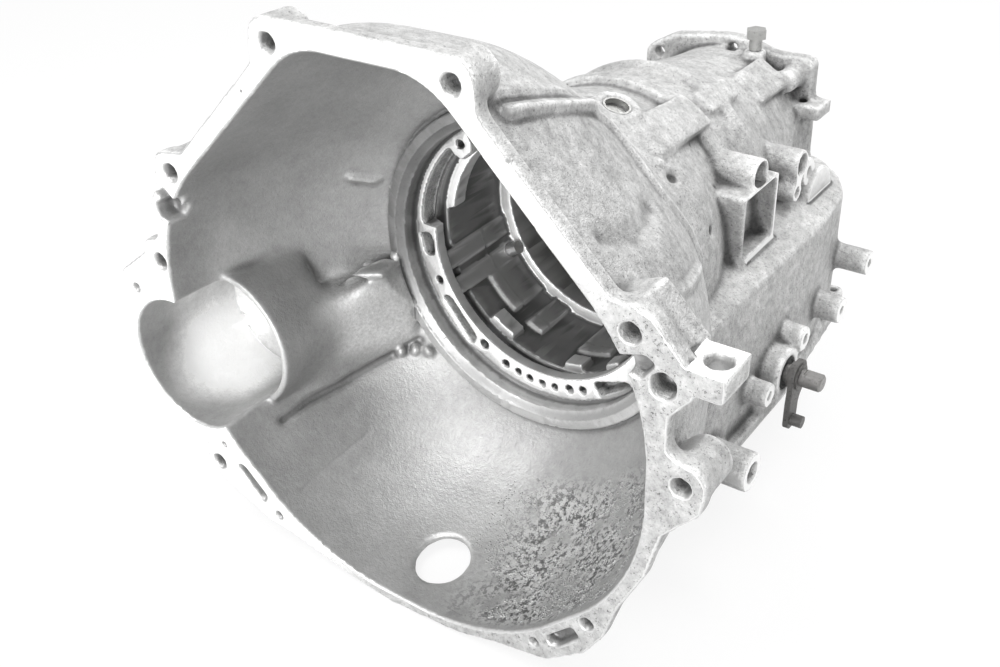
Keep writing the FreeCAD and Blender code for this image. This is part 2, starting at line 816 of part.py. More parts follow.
# Rear flange, its lug and screw boss
rear_outline = outline("RearOutline", "front", s.rearFaceY - s.rearFlangeThick, [
    (-77, 58, 9), (-52, 72, 16), (4, 80, 60), (38, 70, 20), (71, 71, 7), (72, -6, 8), (80, -50, 16),
    (44, -84, 18), (-44, -84, 18), (-80, -50, 16), (-78, 10, 14),
])
rear_flange = raised("RearFlange", rear_outline, "Y", s.rearFlangeThick)
rear_lug = slab("RearLug", (50, s.rearFaceY - 24, 26), (84, s.rearFaceY, 38))
rear_screw_boss = rod("RearScrewBoss", "Y", (57, s.rearFaceY - 34, 57), 9, 30)
vent_boss = rod("VentBoss", "Z", (s.ventX, s.ventY, 50), s.ventRadius + 4, s.ventSeatZ - 50)

case_solids = joined("CaseSolids", [
    bell_outside, flange, ear_bosses, bolt_bosses, foot_bosses, starter_shell, *bell_ribs,
    lug_gusset, lug, barrel, *top_pads, skirt, rail, rail_pads, box_shell,
    *side_bosses, port_web, rear_housing, rear_flange, rear_lug, rear_screw_boss, vent_boss,
])

# Hollow of the bell, less what stands inside it
collar = rod("Collar", "Y", (0, s.lipY, 0), s.collarRadius, s.bellSkirtY - s.lipY)
bell_stands = joined("BellStands", [starter_hump, collar, gallery, gallery_fin])
bell_hollow = cut_from("BellHollow", bell_inside, bell_stands)

# Turned hollow: pump seat, clutch bores, support wall, tail bore
barrel_hollow = turned("BarrelHollow", outline("BarrelHollowProfile", "level", 0, [
    (0, s.lipY - 20), (s.lipRadius, s.lipY - 20), (s.lipRadius, s.lipY + 1),
    (s.pumpBore, s.lipY + 5), (s.pumpBore, s.pumpFaceY),
    (s.pumpFaceInner, s.pumpFaceY), (s.pumpFaceInner, s.pumpFaceY + s.pumpFaceThick),
    (s.barrelBore, s.pumpFaceY + s.pumpFaceThick + 3), (s.barrelBore, s.frontLugY),
    (s.barrelBore - s.boreStep, s.frontLugY), (s.barrelBore - s.boreStep, s.seatY),
    (s.seatBore, s.seatY), (s.seatBore, s.supportY - s.supportThick),
    (s.supportBore, s.supportY - s.supportThick), (s.supportBore, s.supportY),
    (s.chamberBore, s.supportY), (s.chamberBore, s.barrelEndY - 14),
    (s.tailBore, s.barrelEndY + 6), (s.tailBore, s.rearFaceY - s.rearWallThick),
    (s.bushingRadius, s.rearFaceY - s.rearWallThick), (s.bushingRadius, s.rearFaceY + 1),
    (0, s.rearFaceY + 1),
]))

# Room for the parking pawl, in the lower half behind the support wall
pawl_room = sector("PawlRoom", s.chamberBore - 20, s.seatBore, s.supportY, s.barrelEndY - s.supportY - 8,
                   190, 350)

# Clutch seats: two rows of lugs that stand in from the barrel wall
lug_ring = s.barrelBore + 3
front_lugs = []
for index, (low_turn, high_turn) in enumerate(FRONT_LUGS):
    front_lugs.append(sector(f"FrontLug{index}", s.lugRadius, lug_ring, s.frontLugY,
                             s.frontLugLength, low_turn, high_turn))
rear_lugs = []
for index, (low_turn, high_turn) in enumerate(REAR_LUGS):
    rear_lugs.append(sector(f"RearLug{index}", s.lugRadius + 2, lug_ring, s.rearLugY,
                            s.rearLugLength, low_turn, high_turn))
oil_ridges = []
for index, (low_turn, high_turn) in enumerate(OIL_RIDGES):
    start = s.pumpFaceY + s.pumpFaceThick + 4
    oil_ridges.append(sector(f"OilRidge{index}", s.ridgeInner, lug_ring, start, s.seatY - start + 1,
                             low_turn, high_turn))
barrel_lugs = joined("BarrelLugs", front_lugs + rear_lugs + oil_ridges)
barrel_room = cut_from("BarrelRoom", barrel_hollow, barrel_lugs)
snap_groove = sector("SnapGroove", s.lugRadius - 3, s.lugRadius + 5, s.rearLugY + 9, 2.5, 0, 360)

# Pump face: notch of the upper left, lobed screw tab, oil holes and slots
face_notch = cut_from("FaceNotch", sector(
    "FaceNotchRing", s.pumpFaceInner - 2, s.pumpBore - 6, s.pumpFaceY - ends,
    s.pumpFaceThick + 4, 118, 176),
    rod("FaceTab", "Y", (-61, s.pumpFaceY - 2, 74), 10, s.pumpFaceThick + 8))
face_holes = raised("FaceHoles", circles("FaceHoleRounds", "front", s.pumpFaceY - ends, [
    (-61, 75, 3), (-87, -37, 2.8), (-49, -80, 3.6), (-30, -90, 2.9), (-19, -93, 2.5),
    (-9, -95, 2.5), (2, -95.5, 2.5), (12.5, -95, 2.5), (25, -92, 2.9), (36, -89, 2.9),
    (88, 38, 2.8), (61, 75, 3), (20, 95, 2.6), (-14, 96, 2.6), (95, -12, 2.9),
]), "Y", s.pumpFaceThick + 4)
face_slots = []
for name, corners in (
        ("FaceSlotSquare", [(-101, -2, 2), (-92, -1, 2), (-90, -17, 2), (-98, -19, 2)]),
        ("FaceSlotLong", [(-86, -49, 2), (-78, -49, 2), (-56, -76, 2), (-60, -83, 2)]),
        ("FaceSlotWedge", [(45, -79, 2), (70, -70, 2), (77, -71, 1.2), (50, -89, 2)])):
    face_slots.append(raised(name, outline(name + "Outline", "front", s.pumpFaceY - ends, corners),
                             "Y", s.pumpFaceThick + 4))

# Holes and pockets in the mouth flange
through = s.boltBossLength + ends * 2
flange_bolts = raised("FlangeBolts", circles("FlangeBoltRounds", "front", -ends, [
    (-s.topEarX, s.topEarZ, s.boltHole), (s.topEarX, s.topEarZ, s.boltHole),
]), "Y", s.earLength + ends * 2)
side_bolts = raised("SideBolts", circles("SideBoltRounds", "front", -ends, [
    (s.upperBoltRightX, s.upperBoltRightZ, s.boltHole),
    (s.upperBoltLeftX, s.upperBoltLeftZ, s.boltHole),
    (s.lowerBoltRightX, s.lowerBoltRightZ, s.boltHole),
    (s.lowerBoltLeftX, s.lowerBoltLeftZ, s.boltHole),
    (s.footHoleRightX, s.footHoleRightZ, s.footHole),
    (s.footHoleLeftX, s.footHoleLeftZ, s.boltHole),
]), "Y", through)
dowel_holes = raised("DowelHoles", circles("DowelHoleRounds", "front", -ends, [
    (s.dowelX, s.dowelZ, s.dowelHole), (-s.dowelX + 3, s.dowelZ, s.dowelHole),
]), "Y", s.dowelDepth + ends)
cover_screws = raised("CoverScrews", circles("CoverScrewRounds", "front", -ends, [
    (s.coverScrewRightX, s.coverScrewRightZ, s.coverScrewHole),
    (s.coverScrewLeftX, s.coverScrewLeftZ, s.coverScrewHole),
    (s.starterScrewX, s.starterScrewZ, s.coverScrewHole),
    (-164, -118, 2.2),
]), "Y", s.footBossLength - 4)
flange_dimples = raised("FlangeDimples", circles("FlangeDimpleRounds", "front", -ends, [
    (93, 158, 2.2), (-87, 159, 2.2),
]), "Y", 2 + ends)
pockets = []
for name, corners in (
        ("PocketLeft", [(-183, 80, 2), (-172, 79, 2), (-163, 70, 2), (-166, 64, 2), (-182, 73, 2)]),
        ("PocketRight", [(154, 71, 2), (169, 76, 2), (176, 73, 2), (168, 62, 3), (158, 64, 2)]),
        ("PocketFoot", [(106, -152, 3), (128, -130, 3), (133, -137, 3), (117, -154, 3)]),
        ("PocketFootLeft", [(-155, -131, 2), (-147, -130, 2), (-127, -150, 2), (-132, -157, 2)])):
    pockets.append(raised(name, outline(name + "Outline", "front", -ends, corners), "Y",
                          s.flangePocket + ends))
lug_hole = rod("LugHole", "Z", ((s.lugLowX + s.lugHighX) / 2 + 2, s.lugDepth / 2,
                                s.lugTopZ - s.lugThick - 1), s.lugHole, s.lugThick + 2)
drain_hole = doc.addObject("Part::Cylinder", "DrainHole")
bind(drain_hole, "Radius", s.drainHoleRadius)
bind(drain_hole, "Height", 60)
place(drain_hole, (s.drainHoleX, s.drainHoleY + 13, -196), FreeCAD.Rotation(Vector(1, 0, 0), 25))

# Pan side: screw holes, opening, oil tracks in the valve face, side cavities
rail_holes = raised("RailHoles", circles("RailHoleRounds", "level", s.railZ - ends, [
    (across, along, s.railBolt) for across, along in rail_bolts()
]), "Z", 15)
pan_room = raised("PanRoom", outline("PanRoomOutline", "level", s.railZ - ends, [
    (s.railX - 19, s.panFrontY, 12), (s.railX - 19, s.skirtTaperY - 20, 60),
    (s.railRearX - 19, s.panRearY, 16), (-s.railRearX + 19, s.panRearY, 16),
    (-s.railX + 19, s.skirtTaperY - 20, 60), (-s.railX + 19, s.panFrontY, 12),
]), "Z", s.valveFaceZ - s.railZ + ends)


def oil_track(index, low, high):
    """A rounded slot in the valve face between two corners of its plan."""
    corners = [(low[0], low[1], 4), (high[0], low[1], 4), (high[0], high[1], 4), (low[0], high[1], 4)]
    plan = outline(f"TrackOutline{index}", "level", s.valveFaceZ - ends, corners)
    return raised(f"Track{index}", plan, "Z", s.trackDepth + ends)


oil_tracks = [oil_track(index, low, high) for index, (low, high) in enumerate(OIL_TRACKS)]

cavity_core = rod("CavityCore", "Y", (0, s.railFrontY, 0), s.cavityShell, s.railRearY - s.railFrontY)
cavity_blocks = []
for index, (side, start, stop) in enumerate(SIDE_CAVITIES):
    corners = [
        (76, s.valveFaceZ - 1), (s.skirtX - s.skirtWall, s.valveFaceZ - 1),
        (s.skirtX - s.skirtWall, s.skirtKneeZ), (s.skirtShoulderX - s.skirtWall, s.skirtShoulderZ - 4),
        (100, s.skirtShoulderZ - 4),
    ]
    if side < 0:
        corners = [(-size_of(across), up) for across, up in reversed(corners)]
    cavity_blocks.append(raised(f"CavityBlock{index}",
                                outline(f"CavityOutline{index}", "front", start, corners),
                                "Y", size_of(stop) - start))
cavity_plan = raised("CavityPlan", outline("CavityPlanOutline", "level", s.valveFaceZ - 2,
                                           skirt_plan_corners(s.skirtWall)),
                     "Z", s.skirtTopZ - s.valveFaceZ)
cavities_inside = doc.addObject("Part::Common", "CavitiesInside")
cavities_inside.Base = joined("CavityBlocks", cavity_blocks)
cavities_inside.Tool = cavity_plan
side_cavities = cut_from("SideCavities", cavities_inside, cavity_core)

# Rear flange holes and the small seats
rear_bolts = raised("RearBolts", circles("RearBoltRounds", "front", s.rearFaceY - 22, [
    (across, up, s.rearBolt) for across, up in REAR_BOLTS
]), "Y", 22 + ends)
rear_lug_hole = rod("RearLugHole", "Z", (66, s.rearFaceY - 12, 25), 4.5, 14)
lock_pin_y = s.shaftY + s.shaftRadius - 0.2
lock_pin_hole = rod("LockPinHole", "Z", (s.lockPinX, lock_pin_y, s.railZ - ends), s.lockPinRadius,
                    s.shaftZ - s.railZ + 12)
radial = FreeCAD.Rotation(Vector(0, 1, 0), s.cupPlugTurn.number)
plug_boss = doc.addObject("Part::Cylinder", "PlugBoss")
plug_seat = doc.addObject("Part::Cylinder", "PlugSeat")
for item, radius, start, length in (
        (plug_boss, s.cupPlugRadius + 7, s.drumRadius - 9, 12),
        (plug_seat, s.cupPlugRadius, s.drumRadius - 4, 12)):
    bind(item, "Radius", radius)
    bind(item, "Height", length)
    across, up = around(start, 90 - s.cupPlugTurn)
    place(item, (across, s.cupPlugY, up), radial)
vent_hole = rod("VentHole", "Z", (s.ventX, s.ventY, 56), 3, s.ventSeatZ - 55)
pawl_across, pawl_up = around(s.pawlPivotReach, s.pawlPivotTurn)
pawl_pin_hole = rod("PawlPinHole", "Y", (pawl_across, s.supportY - s.supportThick + 2, pawl_up),
                    s.pawlPinRadius, 56)

anchor_across, anchor_up = around(s.barrelBore + 6, s.anchorTurn)
anchor_turn = FreeCAD.Rotation(Vector(0, 1, 0), -90 - s.anchorTurn.number)


def inward_rod(name, radius, length):
    """A cylinder that points at the crank axis from outside the barrel bore."""
    solid = doc.addObject("Part::Cylinder", name)
    bind(solid, "Radius", radius)
    bind(solid, "Height", length)
    place(solid, (anchor_across, s.anchorY, anchor_up), anchor_turn)
    return solid


anchor_hole = inward_rod("AnchorHole", s.anchorRadius, 14)

# The rough casting is cut in steps, from the large rooms to the small holes
ROOMS = [
    ("BellRoom", [bell_hollow]),
    ("BarrelAndStarter", [starter_room, barrel_room, pawl_room]),
    ("SeatGrooves", [snap_groove, face_notch]),
    ("FrontHoles", [face_holes, *face_slots, flange_bolts, side_bolts, dowel_holes, cover_screws,
                    flange_dimples, *pockets, lug_hole, drain_hole]),
    ("SideHoles", [box_room, *side_holes, plug_seat, vent_hole, pawl_pin_hole, rear_bolts,
                   rear_lug_hole, anchor_hole]),
    ("PanAndSeal", [pan_room, rail_holes, seal_seat]),
    ("Tracks", oil_tracks + [side_cavities]),
    ("PinHole", [lock_pin_hole]),
]
case_solids.Shapes = case_solids.Shapes + [plug_boss]
main_case = case_solids
for name, rooms in ROOMS:
    tool = joined(name, rooms) if len(rooms) > 1 else rooms[0]
    main_case = cut_from("CaseLess" + name, main_case, tool)
main_case.Label = "main_case"
nodes = [main_case]


# Helpers for the small pieces, each a body with its own sketches

def body_named(label, spot=(0, 0, 0), rotation=None):
    body = doc.addObject("PartDesign::Body", label.title().replace("_", ""))
    body.Label = label
    place(body, spot, rotation)
    nodes.append(body)
    return body


def padded(body, sketch, length):
    """A pad that runs along the positive axis of its sketch plane."""
    pad = body.newObject("PartDesign::Pad", sketch.Name + "Pad")
    pad.Profile = sketch
    bind(pad, "Length", length)
    pad.Reversed = "XZ_Plane" in [item[0].Role for item in sketch.AttachmentSupport]
    return pad


def pocketed(body, sketch, length):
    """A pocket that runs along the positive axis of its sketch plane."""
    pocket = body.newObject("PartDesign::Pocket", sketch.Name + "Pocket")
    pocket.Profile = sketch
    bind(pocket, "Length", length)
    pocket.Reversed = "XZ_Plane" not in [item[0].Role for item in sketch.AttachmentSupport]
    return pocket


def revolved(body, sketch, axis):
    """A full turn about the sketch's own H_Axis or V_Axis."""
    turn = body.newObject("PartDesign::Revolution", sketch.Name + "Turn")
    turn.Profile = sketch
    turn.ReferenceAxis = (sketch, [axis])
    turn.Angle = 360
    return turn


def hexagon(flats):
    """Corners of a hexagon of a size across flats."""
    reach = size_of(flats) / (2 * math.cos(math.radians(30)))
    return [around(reach, 60 * turn) for turn in range(6)]


# Selector shaft: a neck for the inner lever, a groove for the lock pin, two outer flats
shaft = body_named("selector_shaft", (0, s.shaftY, s.shaftZ))
groove_low = s.lockPinX - s.lockPinRadius - 0.6
groove_high = s.lockPinX + s.lockPinRadius + 0.6
groove_radius = s.shaftRadius - 1.9
shoulder = s.detentX + s.detentThick
revolved(shaft, outline("ShaftProfile", "level", 0, [
    (s.shaftInnerX, 0), (s.shaftEndX, 0), (s.shaftEndX, s.shaftRadius - 1.2),
    (s.shaftEndX - 1.2, s.shaftRadius), (groove_high, s.shaftRadius),
    (groove_high, groove_radius), (groove_low, groove_radius), (groove_low, s.shaftRadius),
    (shoulder, s.shaftRadius), (shoulder, s.neckRadius),
    (s.shaftInnerX + 1, s.neckRadius), (s.shaftInnerX, s.neckRadius - 1),
], shaft), "H_Axis")
flat_half = s.shaftRadius - 1.6
flats_start = s.leverX + s.leverThick + 4
for name, low, high in (("FlatUpper", flat_half, 9), ("FlatLower", size_of(-9), -flat_half)):
    pocketed(shaft, outline(name, "side", flats_start, [
        (-9, low), (9, low), (9, high), (-9, high)], shaft), s.shaftEndX - flats_start + 1)

# Outer lever: a bent plate with a hub and an end stud
lever = body_named("outer_selector_lever", (0, s.shaftY, s.shaftZ))
padded(lever, outline("LeverPlate", "side", s.leverX, [
    (-11, 12, 10), (11, 12, 10), (12, -10, 9), (2, -s.leverReach * 0.55, 12),
    (1, -s.leverReach - 7, 6), (-13, -s.leverReach - 7, 6), (-13, -s.leverReach * 0.55, 12),
    (-12, -10, 6),
], lever), s.leverThick)
padded(lever, circles("LeverHub", "side", s.leverX - 2.5, [(0, 0, 9.5)], lever), s.leverThick + 4)
padded(lever, circles("LeverStud", "side", s.leverX, [(-6, -s.leverReach, 4.5)], lever), s.leverThick + 8)
pocketed(lever, circles("LeverEye", "side", s.leverX - 3, [(0, 0, s.shaftRadius)], lever),
         s.leverThick + 6)

# Seal round the shaft in its seat
seal = body_named("shaft_seal", (0, s.shaftY, s.shaftZ))
seal_start = s.shaftBossX - s.sealDepth
revolved(seal, outline("SealProfile", "level", 0, [
    (seal_start, s.shaftRadius + s.runningFit + 2.5), (seal_start + 2.5, s.shaftRadius + s.runningFit),
    (s.shaftBossX - 1.2, s.shaftRadius + s.runningFit), (s.shaftBossX - 1.2, s.sealRadius - 2.5),
    (s.shaftBossX - 0.2, s.sealRadius - 1.5), (s.shaftBossX - 0.2, s.sealRadius),
    (seal_start, s.sealRadius),
], seal), "H_Axis")

# Pin that keeps the shaft in the case
lock_pin = rod("LockPin", "Z", (s.lockPinX, lock_pin_y, s.railZ + s.railThick), s.lockPinRadius,
               s.shaftZ - s.railZ - s.railThick + 8)
lock_pin.Label = "shaft_lock_pin"
nodes.append(lock_pin)

# Inner lever with its notched sector
detent = body_named("detent_lever", (0, s.shaftY, s.shaftZ))
comb = [around(9.5, 60), around(9.5, 110)]
comb += [around(9.5, 150), around(s.detentReach - 2, 158)]
for notch in range(6):
    middle = 168 + notch * 11
    comb += [around(s.detentReach, middle - 4), around(s.detentReach - 3.5, middle),
             around(s.detentReach, middle + 4)]
comb += [around(s.detentReach - 2, 236), around(12, 246), (-5, -s.detentReach + 2), (5, -s.detentReach + 2),
         around(10, -20), around(9.5, 20)]
padded(detent, outline("DetentPlate", "side", s.detentX, comb, detent), s.detentThick)
padded(detent, circles("DetentStud", "side", s.detentX - 6, [(0, -s.detentReach + 6, 2.6)], detent),
       s.detentThick + 5)
pocketed(detent, circles("DetentEye", "side", s.detentX - 1, [(0, 0, s.neckRadius)], detent),
         s.detentThick + 2)

nut = body_named("detent_lever_nut", (0, s.shaftY, s.shaftZ))
nut_start = s.detentX - s.nutThick
padded(nut, outline("NutHexagon", "side", nut_start, hexagon(s.nutFlats), nut), s.nutThick)
pocketed(nut, circles("NutBore", "side", nut_start - 1, [(0, 0, s.neckRadius)], nut), s.nutThick + 2)

# Bushing in the rear wall
bushing = body_named("rear_bushing")
padded(bushing, circles("BushingRing", "front", s.rearFaceY - s.bushingLength - 1, [
    (0, 0, s.bushingRadius), (0, 0, s.bushingRadius - s.bushingWall)], bushing), s.bushingLength)

# Cup plug in the recess on top of the barrel
plug_across, plug_up = around(s.drumRadius - 4, 90 - s.cupPlugTurn)
cup_plug = body_named("barrel_cup_plug", (plug_across, s.cupPlugY, plug_up), radial)
revolved(cup_plug, outline("CupPlugProfile", "front", 0, [
    (0, 0), (s.cupPlugRadius - 1, 0), (s.cupPlugRadius, 1), (s.cupPlugRadius, 6),
    (s.cupPlugRadius - s.cupPlugSheet, 6), (s.cupPlugRadius - s.cupPlugSheet, s.cupPlugSheet),
    (0, s.cupPlugSheet),
], cup_plug), "V_Axis")

# Vent: a stem pressed into its boss under a six sided cap
vent = body_named("vent", (s.ventX, s.ventY, s.ventSeatZ))
padded(vent, circles("VentRoot", "level", -8, [(0, 0, 3)], vent), 9)
padded(vent, circles("VentStem", "level", 0, [(0, 0, s.ventRadius)], vent), s.ventLength - 6)
padded(vent, outline("VentCap", "level", s.ventLength - 7, hexagon(14), vent), 7)

# Anchor pin that stands in from the barrel wall
anchor_pin = inward_rod("AnchorPin", s.anchorRadius, 20)
anchor_pin.Label = "anchor_pin"
nodes.append(anchor_pin)

# Parking pawl on its pin, held down by a coil spring beside it
pawl_pin = rod("PawlPin", "Y", (pawl_across, s.supportY - s.supportThick + 2, pawl_up),
               s.pawlPinRadius, 56)
pawl_pin.Label = "pawl_pin"
nodes.append(pawl_pin)
pawl = body_named("parking_pawl", (pawl_across, 0, pawl_up))
padded(pawl, outline("PawlPlate", "front", s.pawlY, [
    (-8.5, 8.5, 8), (8, 9, 6), (40, 2), (48, 9), (54, 9), (58, 0), (64, -4), (64, -12, 4),
    (20, -14, 12), (-8.5, -8.5, 8),
], pawl), s.pawlThick)
pocketed(pawl, circles("PawlEye", "front", s.pawlY - 1, [(0, 0, s.pawlPinRadius + s.runningFit)],
                       pawl), s.pawlThick + 2)

# Coil spring on the pawl pin, behind the pawl
spring_y = s.pawlY + s.pawlThick + s.springGap
coil = doc.addObject("Part::Helix", "SpringPath")
bind(coil, "Radius", s.pawlPinRadius + s.springWire + s.springGap)
bind(coil, "Pitch", s.springWire * 2.2)
bind(coil, "Height", s.springWire * 2.2 * s.springTurns)
place(coil, (pawl_across, spring_y + s.springWire, pawl_up), STAND["Y"])
wire_end = circles("SpringWireEnd", "level", pawl_up, [
    (pawl_across + s.pawlPinRadius + s.springWire + s.springGap, spring_y + s.springWire, s.springWire)])
spring = doc.addObject("Part::Sweep", "PawlSpring")
spring.Sections = [wire_end]
spring.Spine = (coil, ["Edge1"])
spring.Solid = True
spring.Frenet = True
spring.Label = "pawl_spring"
nodes.append(spring)

doc.recompute()

for item in doc.Objects:
    if "Invalid" in item.State or "Error" in item.State:
        raise RuntimeError(f"{item.Name} failed: {item.State}")
for node in nodes:
    if node.Shape.isNull() or not node.Shape.isValid() or not node.Shape.Solids:
        raise RuntimeError(f"{node.Label} has no valid shape")
for node in nodes:
    node.Shape.exportStep(f"parts/{node.Label}.step")
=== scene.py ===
import math

import bmesh
import bpy
import numpy as np
from mathutils import Matrix, Vector
from mathutils.bvhtree import BVHTree


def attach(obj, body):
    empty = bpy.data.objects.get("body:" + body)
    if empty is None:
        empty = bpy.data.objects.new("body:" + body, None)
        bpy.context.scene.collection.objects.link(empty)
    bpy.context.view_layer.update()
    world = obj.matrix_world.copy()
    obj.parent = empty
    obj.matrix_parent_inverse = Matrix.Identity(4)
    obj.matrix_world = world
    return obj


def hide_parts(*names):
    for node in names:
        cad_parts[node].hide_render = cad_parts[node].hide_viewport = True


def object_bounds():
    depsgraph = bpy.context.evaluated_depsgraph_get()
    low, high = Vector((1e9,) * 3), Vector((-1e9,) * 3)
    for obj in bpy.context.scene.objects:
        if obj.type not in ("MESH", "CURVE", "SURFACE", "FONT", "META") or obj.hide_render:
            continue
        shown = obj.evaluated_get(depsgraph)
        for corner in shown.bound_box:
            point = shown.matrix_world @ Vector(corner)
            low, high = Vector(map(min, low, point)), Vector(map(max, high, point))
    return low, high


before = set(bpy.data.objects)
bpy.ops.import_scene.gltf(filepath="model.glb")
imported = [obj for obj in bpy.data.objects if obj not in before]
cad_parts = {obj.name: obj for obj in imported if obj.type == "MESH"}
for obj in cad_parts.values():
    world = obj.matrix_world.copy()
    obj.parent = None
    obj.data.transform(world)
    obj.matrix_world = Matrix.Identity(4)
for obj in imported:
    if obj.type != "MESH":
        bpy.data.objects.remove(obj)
cadLow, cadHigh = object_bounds()
scene = bpy.context.scene
print("frame loaded,", len(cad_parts), "nodes")


# Camera at the photograph's viewing angle

photoCamera = {
    "azimuth": 36.845,  # degrees round the object, 0 looks along +Y
    "elevation": 32.398,
    "roll": -2.375,
    "place": (0.39206, -0.41069, 0.38556),  # metres
    "lens": 42.07,  # mm
    "sensor": 36,  # mm
    "nearest": 0.01,  # metres from the camera
}


def makeCamera(setup):
    azimuth, elevation, roll = (math.radians(setup[key]) for key in ("azimuth", "elevation", "roll"))
    back = Vector((
        math.sin(azimuth) * math.cos(elevation),
        -math.cos(azimuth) * math.cos(elevation),
        math.sin(elevation),
    ))
    flatRight = Vector((0, 0, 1)).cross(back).normalized()
    flatUp = back.cross(flatRight)
    right = flatRight * math.cos(roll) + flatUp * math.sin(roll)
    up = flatUp * math.cos(roll) - flatRight * math.sin(roll)
    data = bpy.data.cameras.new("photoCamera")
    data.sensor_width = setup["sensor"]
    data.lens = setup["lens"]
    data.clip_start = setup["nearest"]
    camera = bpy.data.objects.new("photoCamera", data)
    scene.collection.objects.link(camera)
    matrix = Matrix((right, up, back)).transposed().to_4x4()
    matrix.translation = setup["place"]
    camera.matrix_world = matrix
    scene.camera = camera


makeCamera(photoCamera)


# Shader maths written as expressions

class Wire:  # one socket of a shader tree

    def __init__(self, shading, socket):
        self.shading = shading
        self.socket = socket

    def maths(self, operation, *values):
        inputs = {0: self, **dict(enumerate(values, 1))}
        return self.shading.node("ShaderNodeMath", {"operation": operation}, inputs)

    def __add__(self, other):
        return self.maths("ADD", other)

    def __sub__(self, other):
        return self.maths("SUBTRACT", other)

    def __rsub__(self, other):
        return self.shading.node("ShaderNodeMath", {"operation": "SUBTRACT"}, {0: other, 1: self})

    def __mul__(self, other):
        return self.maths("MULTIPLY", other)

    def __truediv__(self, other):
        return self.maths("DIVIDE", other)

    def __neg__(self):
        return self * -1

    __radd__ = __add__
    __rmul__ = __mul__

    def power(self, other):
        return self.maths("POWER", other)

    def atLeast(self, other):
        return self.maths("MAXIMUM", other)

    def size(self):
        return self.maths("ABSOLUTE")

    def ramp(self, low, high, start=0.0, end=1.0):
        return self.shading.node("ShaderNodeMapRange", {"interpolation_type": "SMOOTHSTEP"}, {
            "Value": self, "From Min": low, "From Max": high, "To Min": start, "To Max": end})

    def near(self, middle, reach, core=0.6):  # 1 within the core's share of the reach, 0 past it
        return (self - middle).size().ramp(reach * core, reach, 1.0, 0.0)

    def over(self, other, mask):  # this value where the mask is 1, the other where it is 0
        return other * (1.0 - mask) + self * mask


class Shading:  # a shader tree whose nodes are made by one method

    def __init__(self, owner):
        owner.use_nodes = True
        self.tree = owner.node_tree
        self.tree.nodes.clear()

    def node(self, kind, settings=None, values=None, out=0):
        made = self.tree.nodes.new(kind)
        for name, value in (settings or {}).items():
            setattr(made, name, value)
        for name, value in (values or {}).items():
            if isinstance(value, Wire):
                self.tree.links.new(value.socket, made.inputs[name])
            else:
                made.inputs[name].default_value = value
        if out is None:  # every output
            return [Wire(self, socket) for socket in made.outputs]
        return Wire(self, made.outputs[out])


class Finish(Shading):  # a material, with the place and facing of the surface at hand

    def __init__(self, name, noises):
        self.material = bpy.data.materials.new(name)
        super().__init__(self.material)
        self.place = self.node("ShaderNodeTexCoord", out="Object")
        self.x, self.y, self.z = self.split(self.place)
        self.nx, self.ny, self.nz = self.split(self.node("ShaderNodeNewGeometry", out="Normal"))
        self.noises = {name: self.noise(*values) for name, values in noises.items()}

    def split(self, vector):
        return self.node("ShaderNodeSeparateXYZ", {}, {0: vector}, out=None)

    def noise(self, perMetre, detail, rough, seed=0.0, stretch=(1, 1, 1)):
        place = self.node("ShaderNodeMapping", {}, {
            "Vector": self.place, "Scale": [perMetre * share for share in stretch], "Location": (seed,) * 3})
        return self.node("ShaderNodeTexNoise", {"noise_dimensions": "3D"}, {
            "Vector": place, "Scale": 1.0, "Detail": detail, "Roughness": rough})

    def blend(self, shares):  # a plain value and a share of each named noise
        total = shares.get("plain", 0.0)
        for name, share in shares.items():
            if name != "plain":
                total = total + self.noises[name] * share
        return total

    def within(self, *ramps):  # product of ramps, each: what is measured, where it is 0, where it is 1
        mask = 1.0
        for name, low, high in ramps:
            mask = getattr(self, name).ramp(low, high) * mask
        return mask

    def metal(self, level, rough, height, tint=(1.0, 1.0, 1.0), metallic=1.0, depth=0.0004):
        colour = self.node("ShaderNodeCombineColor", {}, {i: level * share for i, share in enumerate(tint)})
        normal = self.node("ShaderNodeBump", {}, {"Height": height, "Distance": depth, "Strength": 1.0})
        shader = self.node("ShaderNodeBsdfPrincipled", {}, {
            "Base Color": colour, "Roughness": rough, "Metallic": metallic, "Normal": normal})
        self.node("ShaderNodeOutputMaterial", {}, {"Surface": shader}, out=None)
        return self.material


# White floor and soft studio light

studio = {
    "worldStrength": 0.70,
    "floorReach": 4.0,
    "floorWhite": 0.86,
    "floorLift": 0.86,  # share of the floor that the camera sees as plain white
    # name: place, aim, size, power
    "lamps": {
        "keyLamp": ((-0.40, -0.70, 1.25), (0.0, 0.12, 0.0), 0.9, 19.0),
        "rearLamp": ((0.35, 0.95, 1.15), (0.0, 0.25, 0.0), 0.8, 13.0),
        "frontLamp": ((0.50, -1.45, 0.30), (-0.05, 0.05, 0.0), 0.7, 17.0),
    },
}


def makeWorld(setup):
    world = bpy.data.worlds.new("studioWorld")
    scene.world = world
    shading = Shading(world)
    seen = shading.node("ShaderNodeLightPath", out="Is Camera Ray")
    light = shading.node("ShaderNodeBackground", {}, {
        "Color": (1, 1, 1, 1), "Strength": seen.atLeast(setup["worldStrength"])})
    shading.node("ShaderNodeOutputWorld", {}, {"Surface": light}, out=None)


def makeLamps(lamps):
    for name, (place, aim, size, power) in lamps.items():
        data = bpy.data.lights.new(name, "AREA")
        data.shape = "DISK"
        data.size = size
        data.energy = power
        lamp = bpy.data.objects.new(name, data)
        scene.collection.objects.link(lamp)
        lamp.location = place
        lamp.rotation_euler = (Vector(place) - Vector(aim)).to_track_quat("Z", "Y").to_euler()


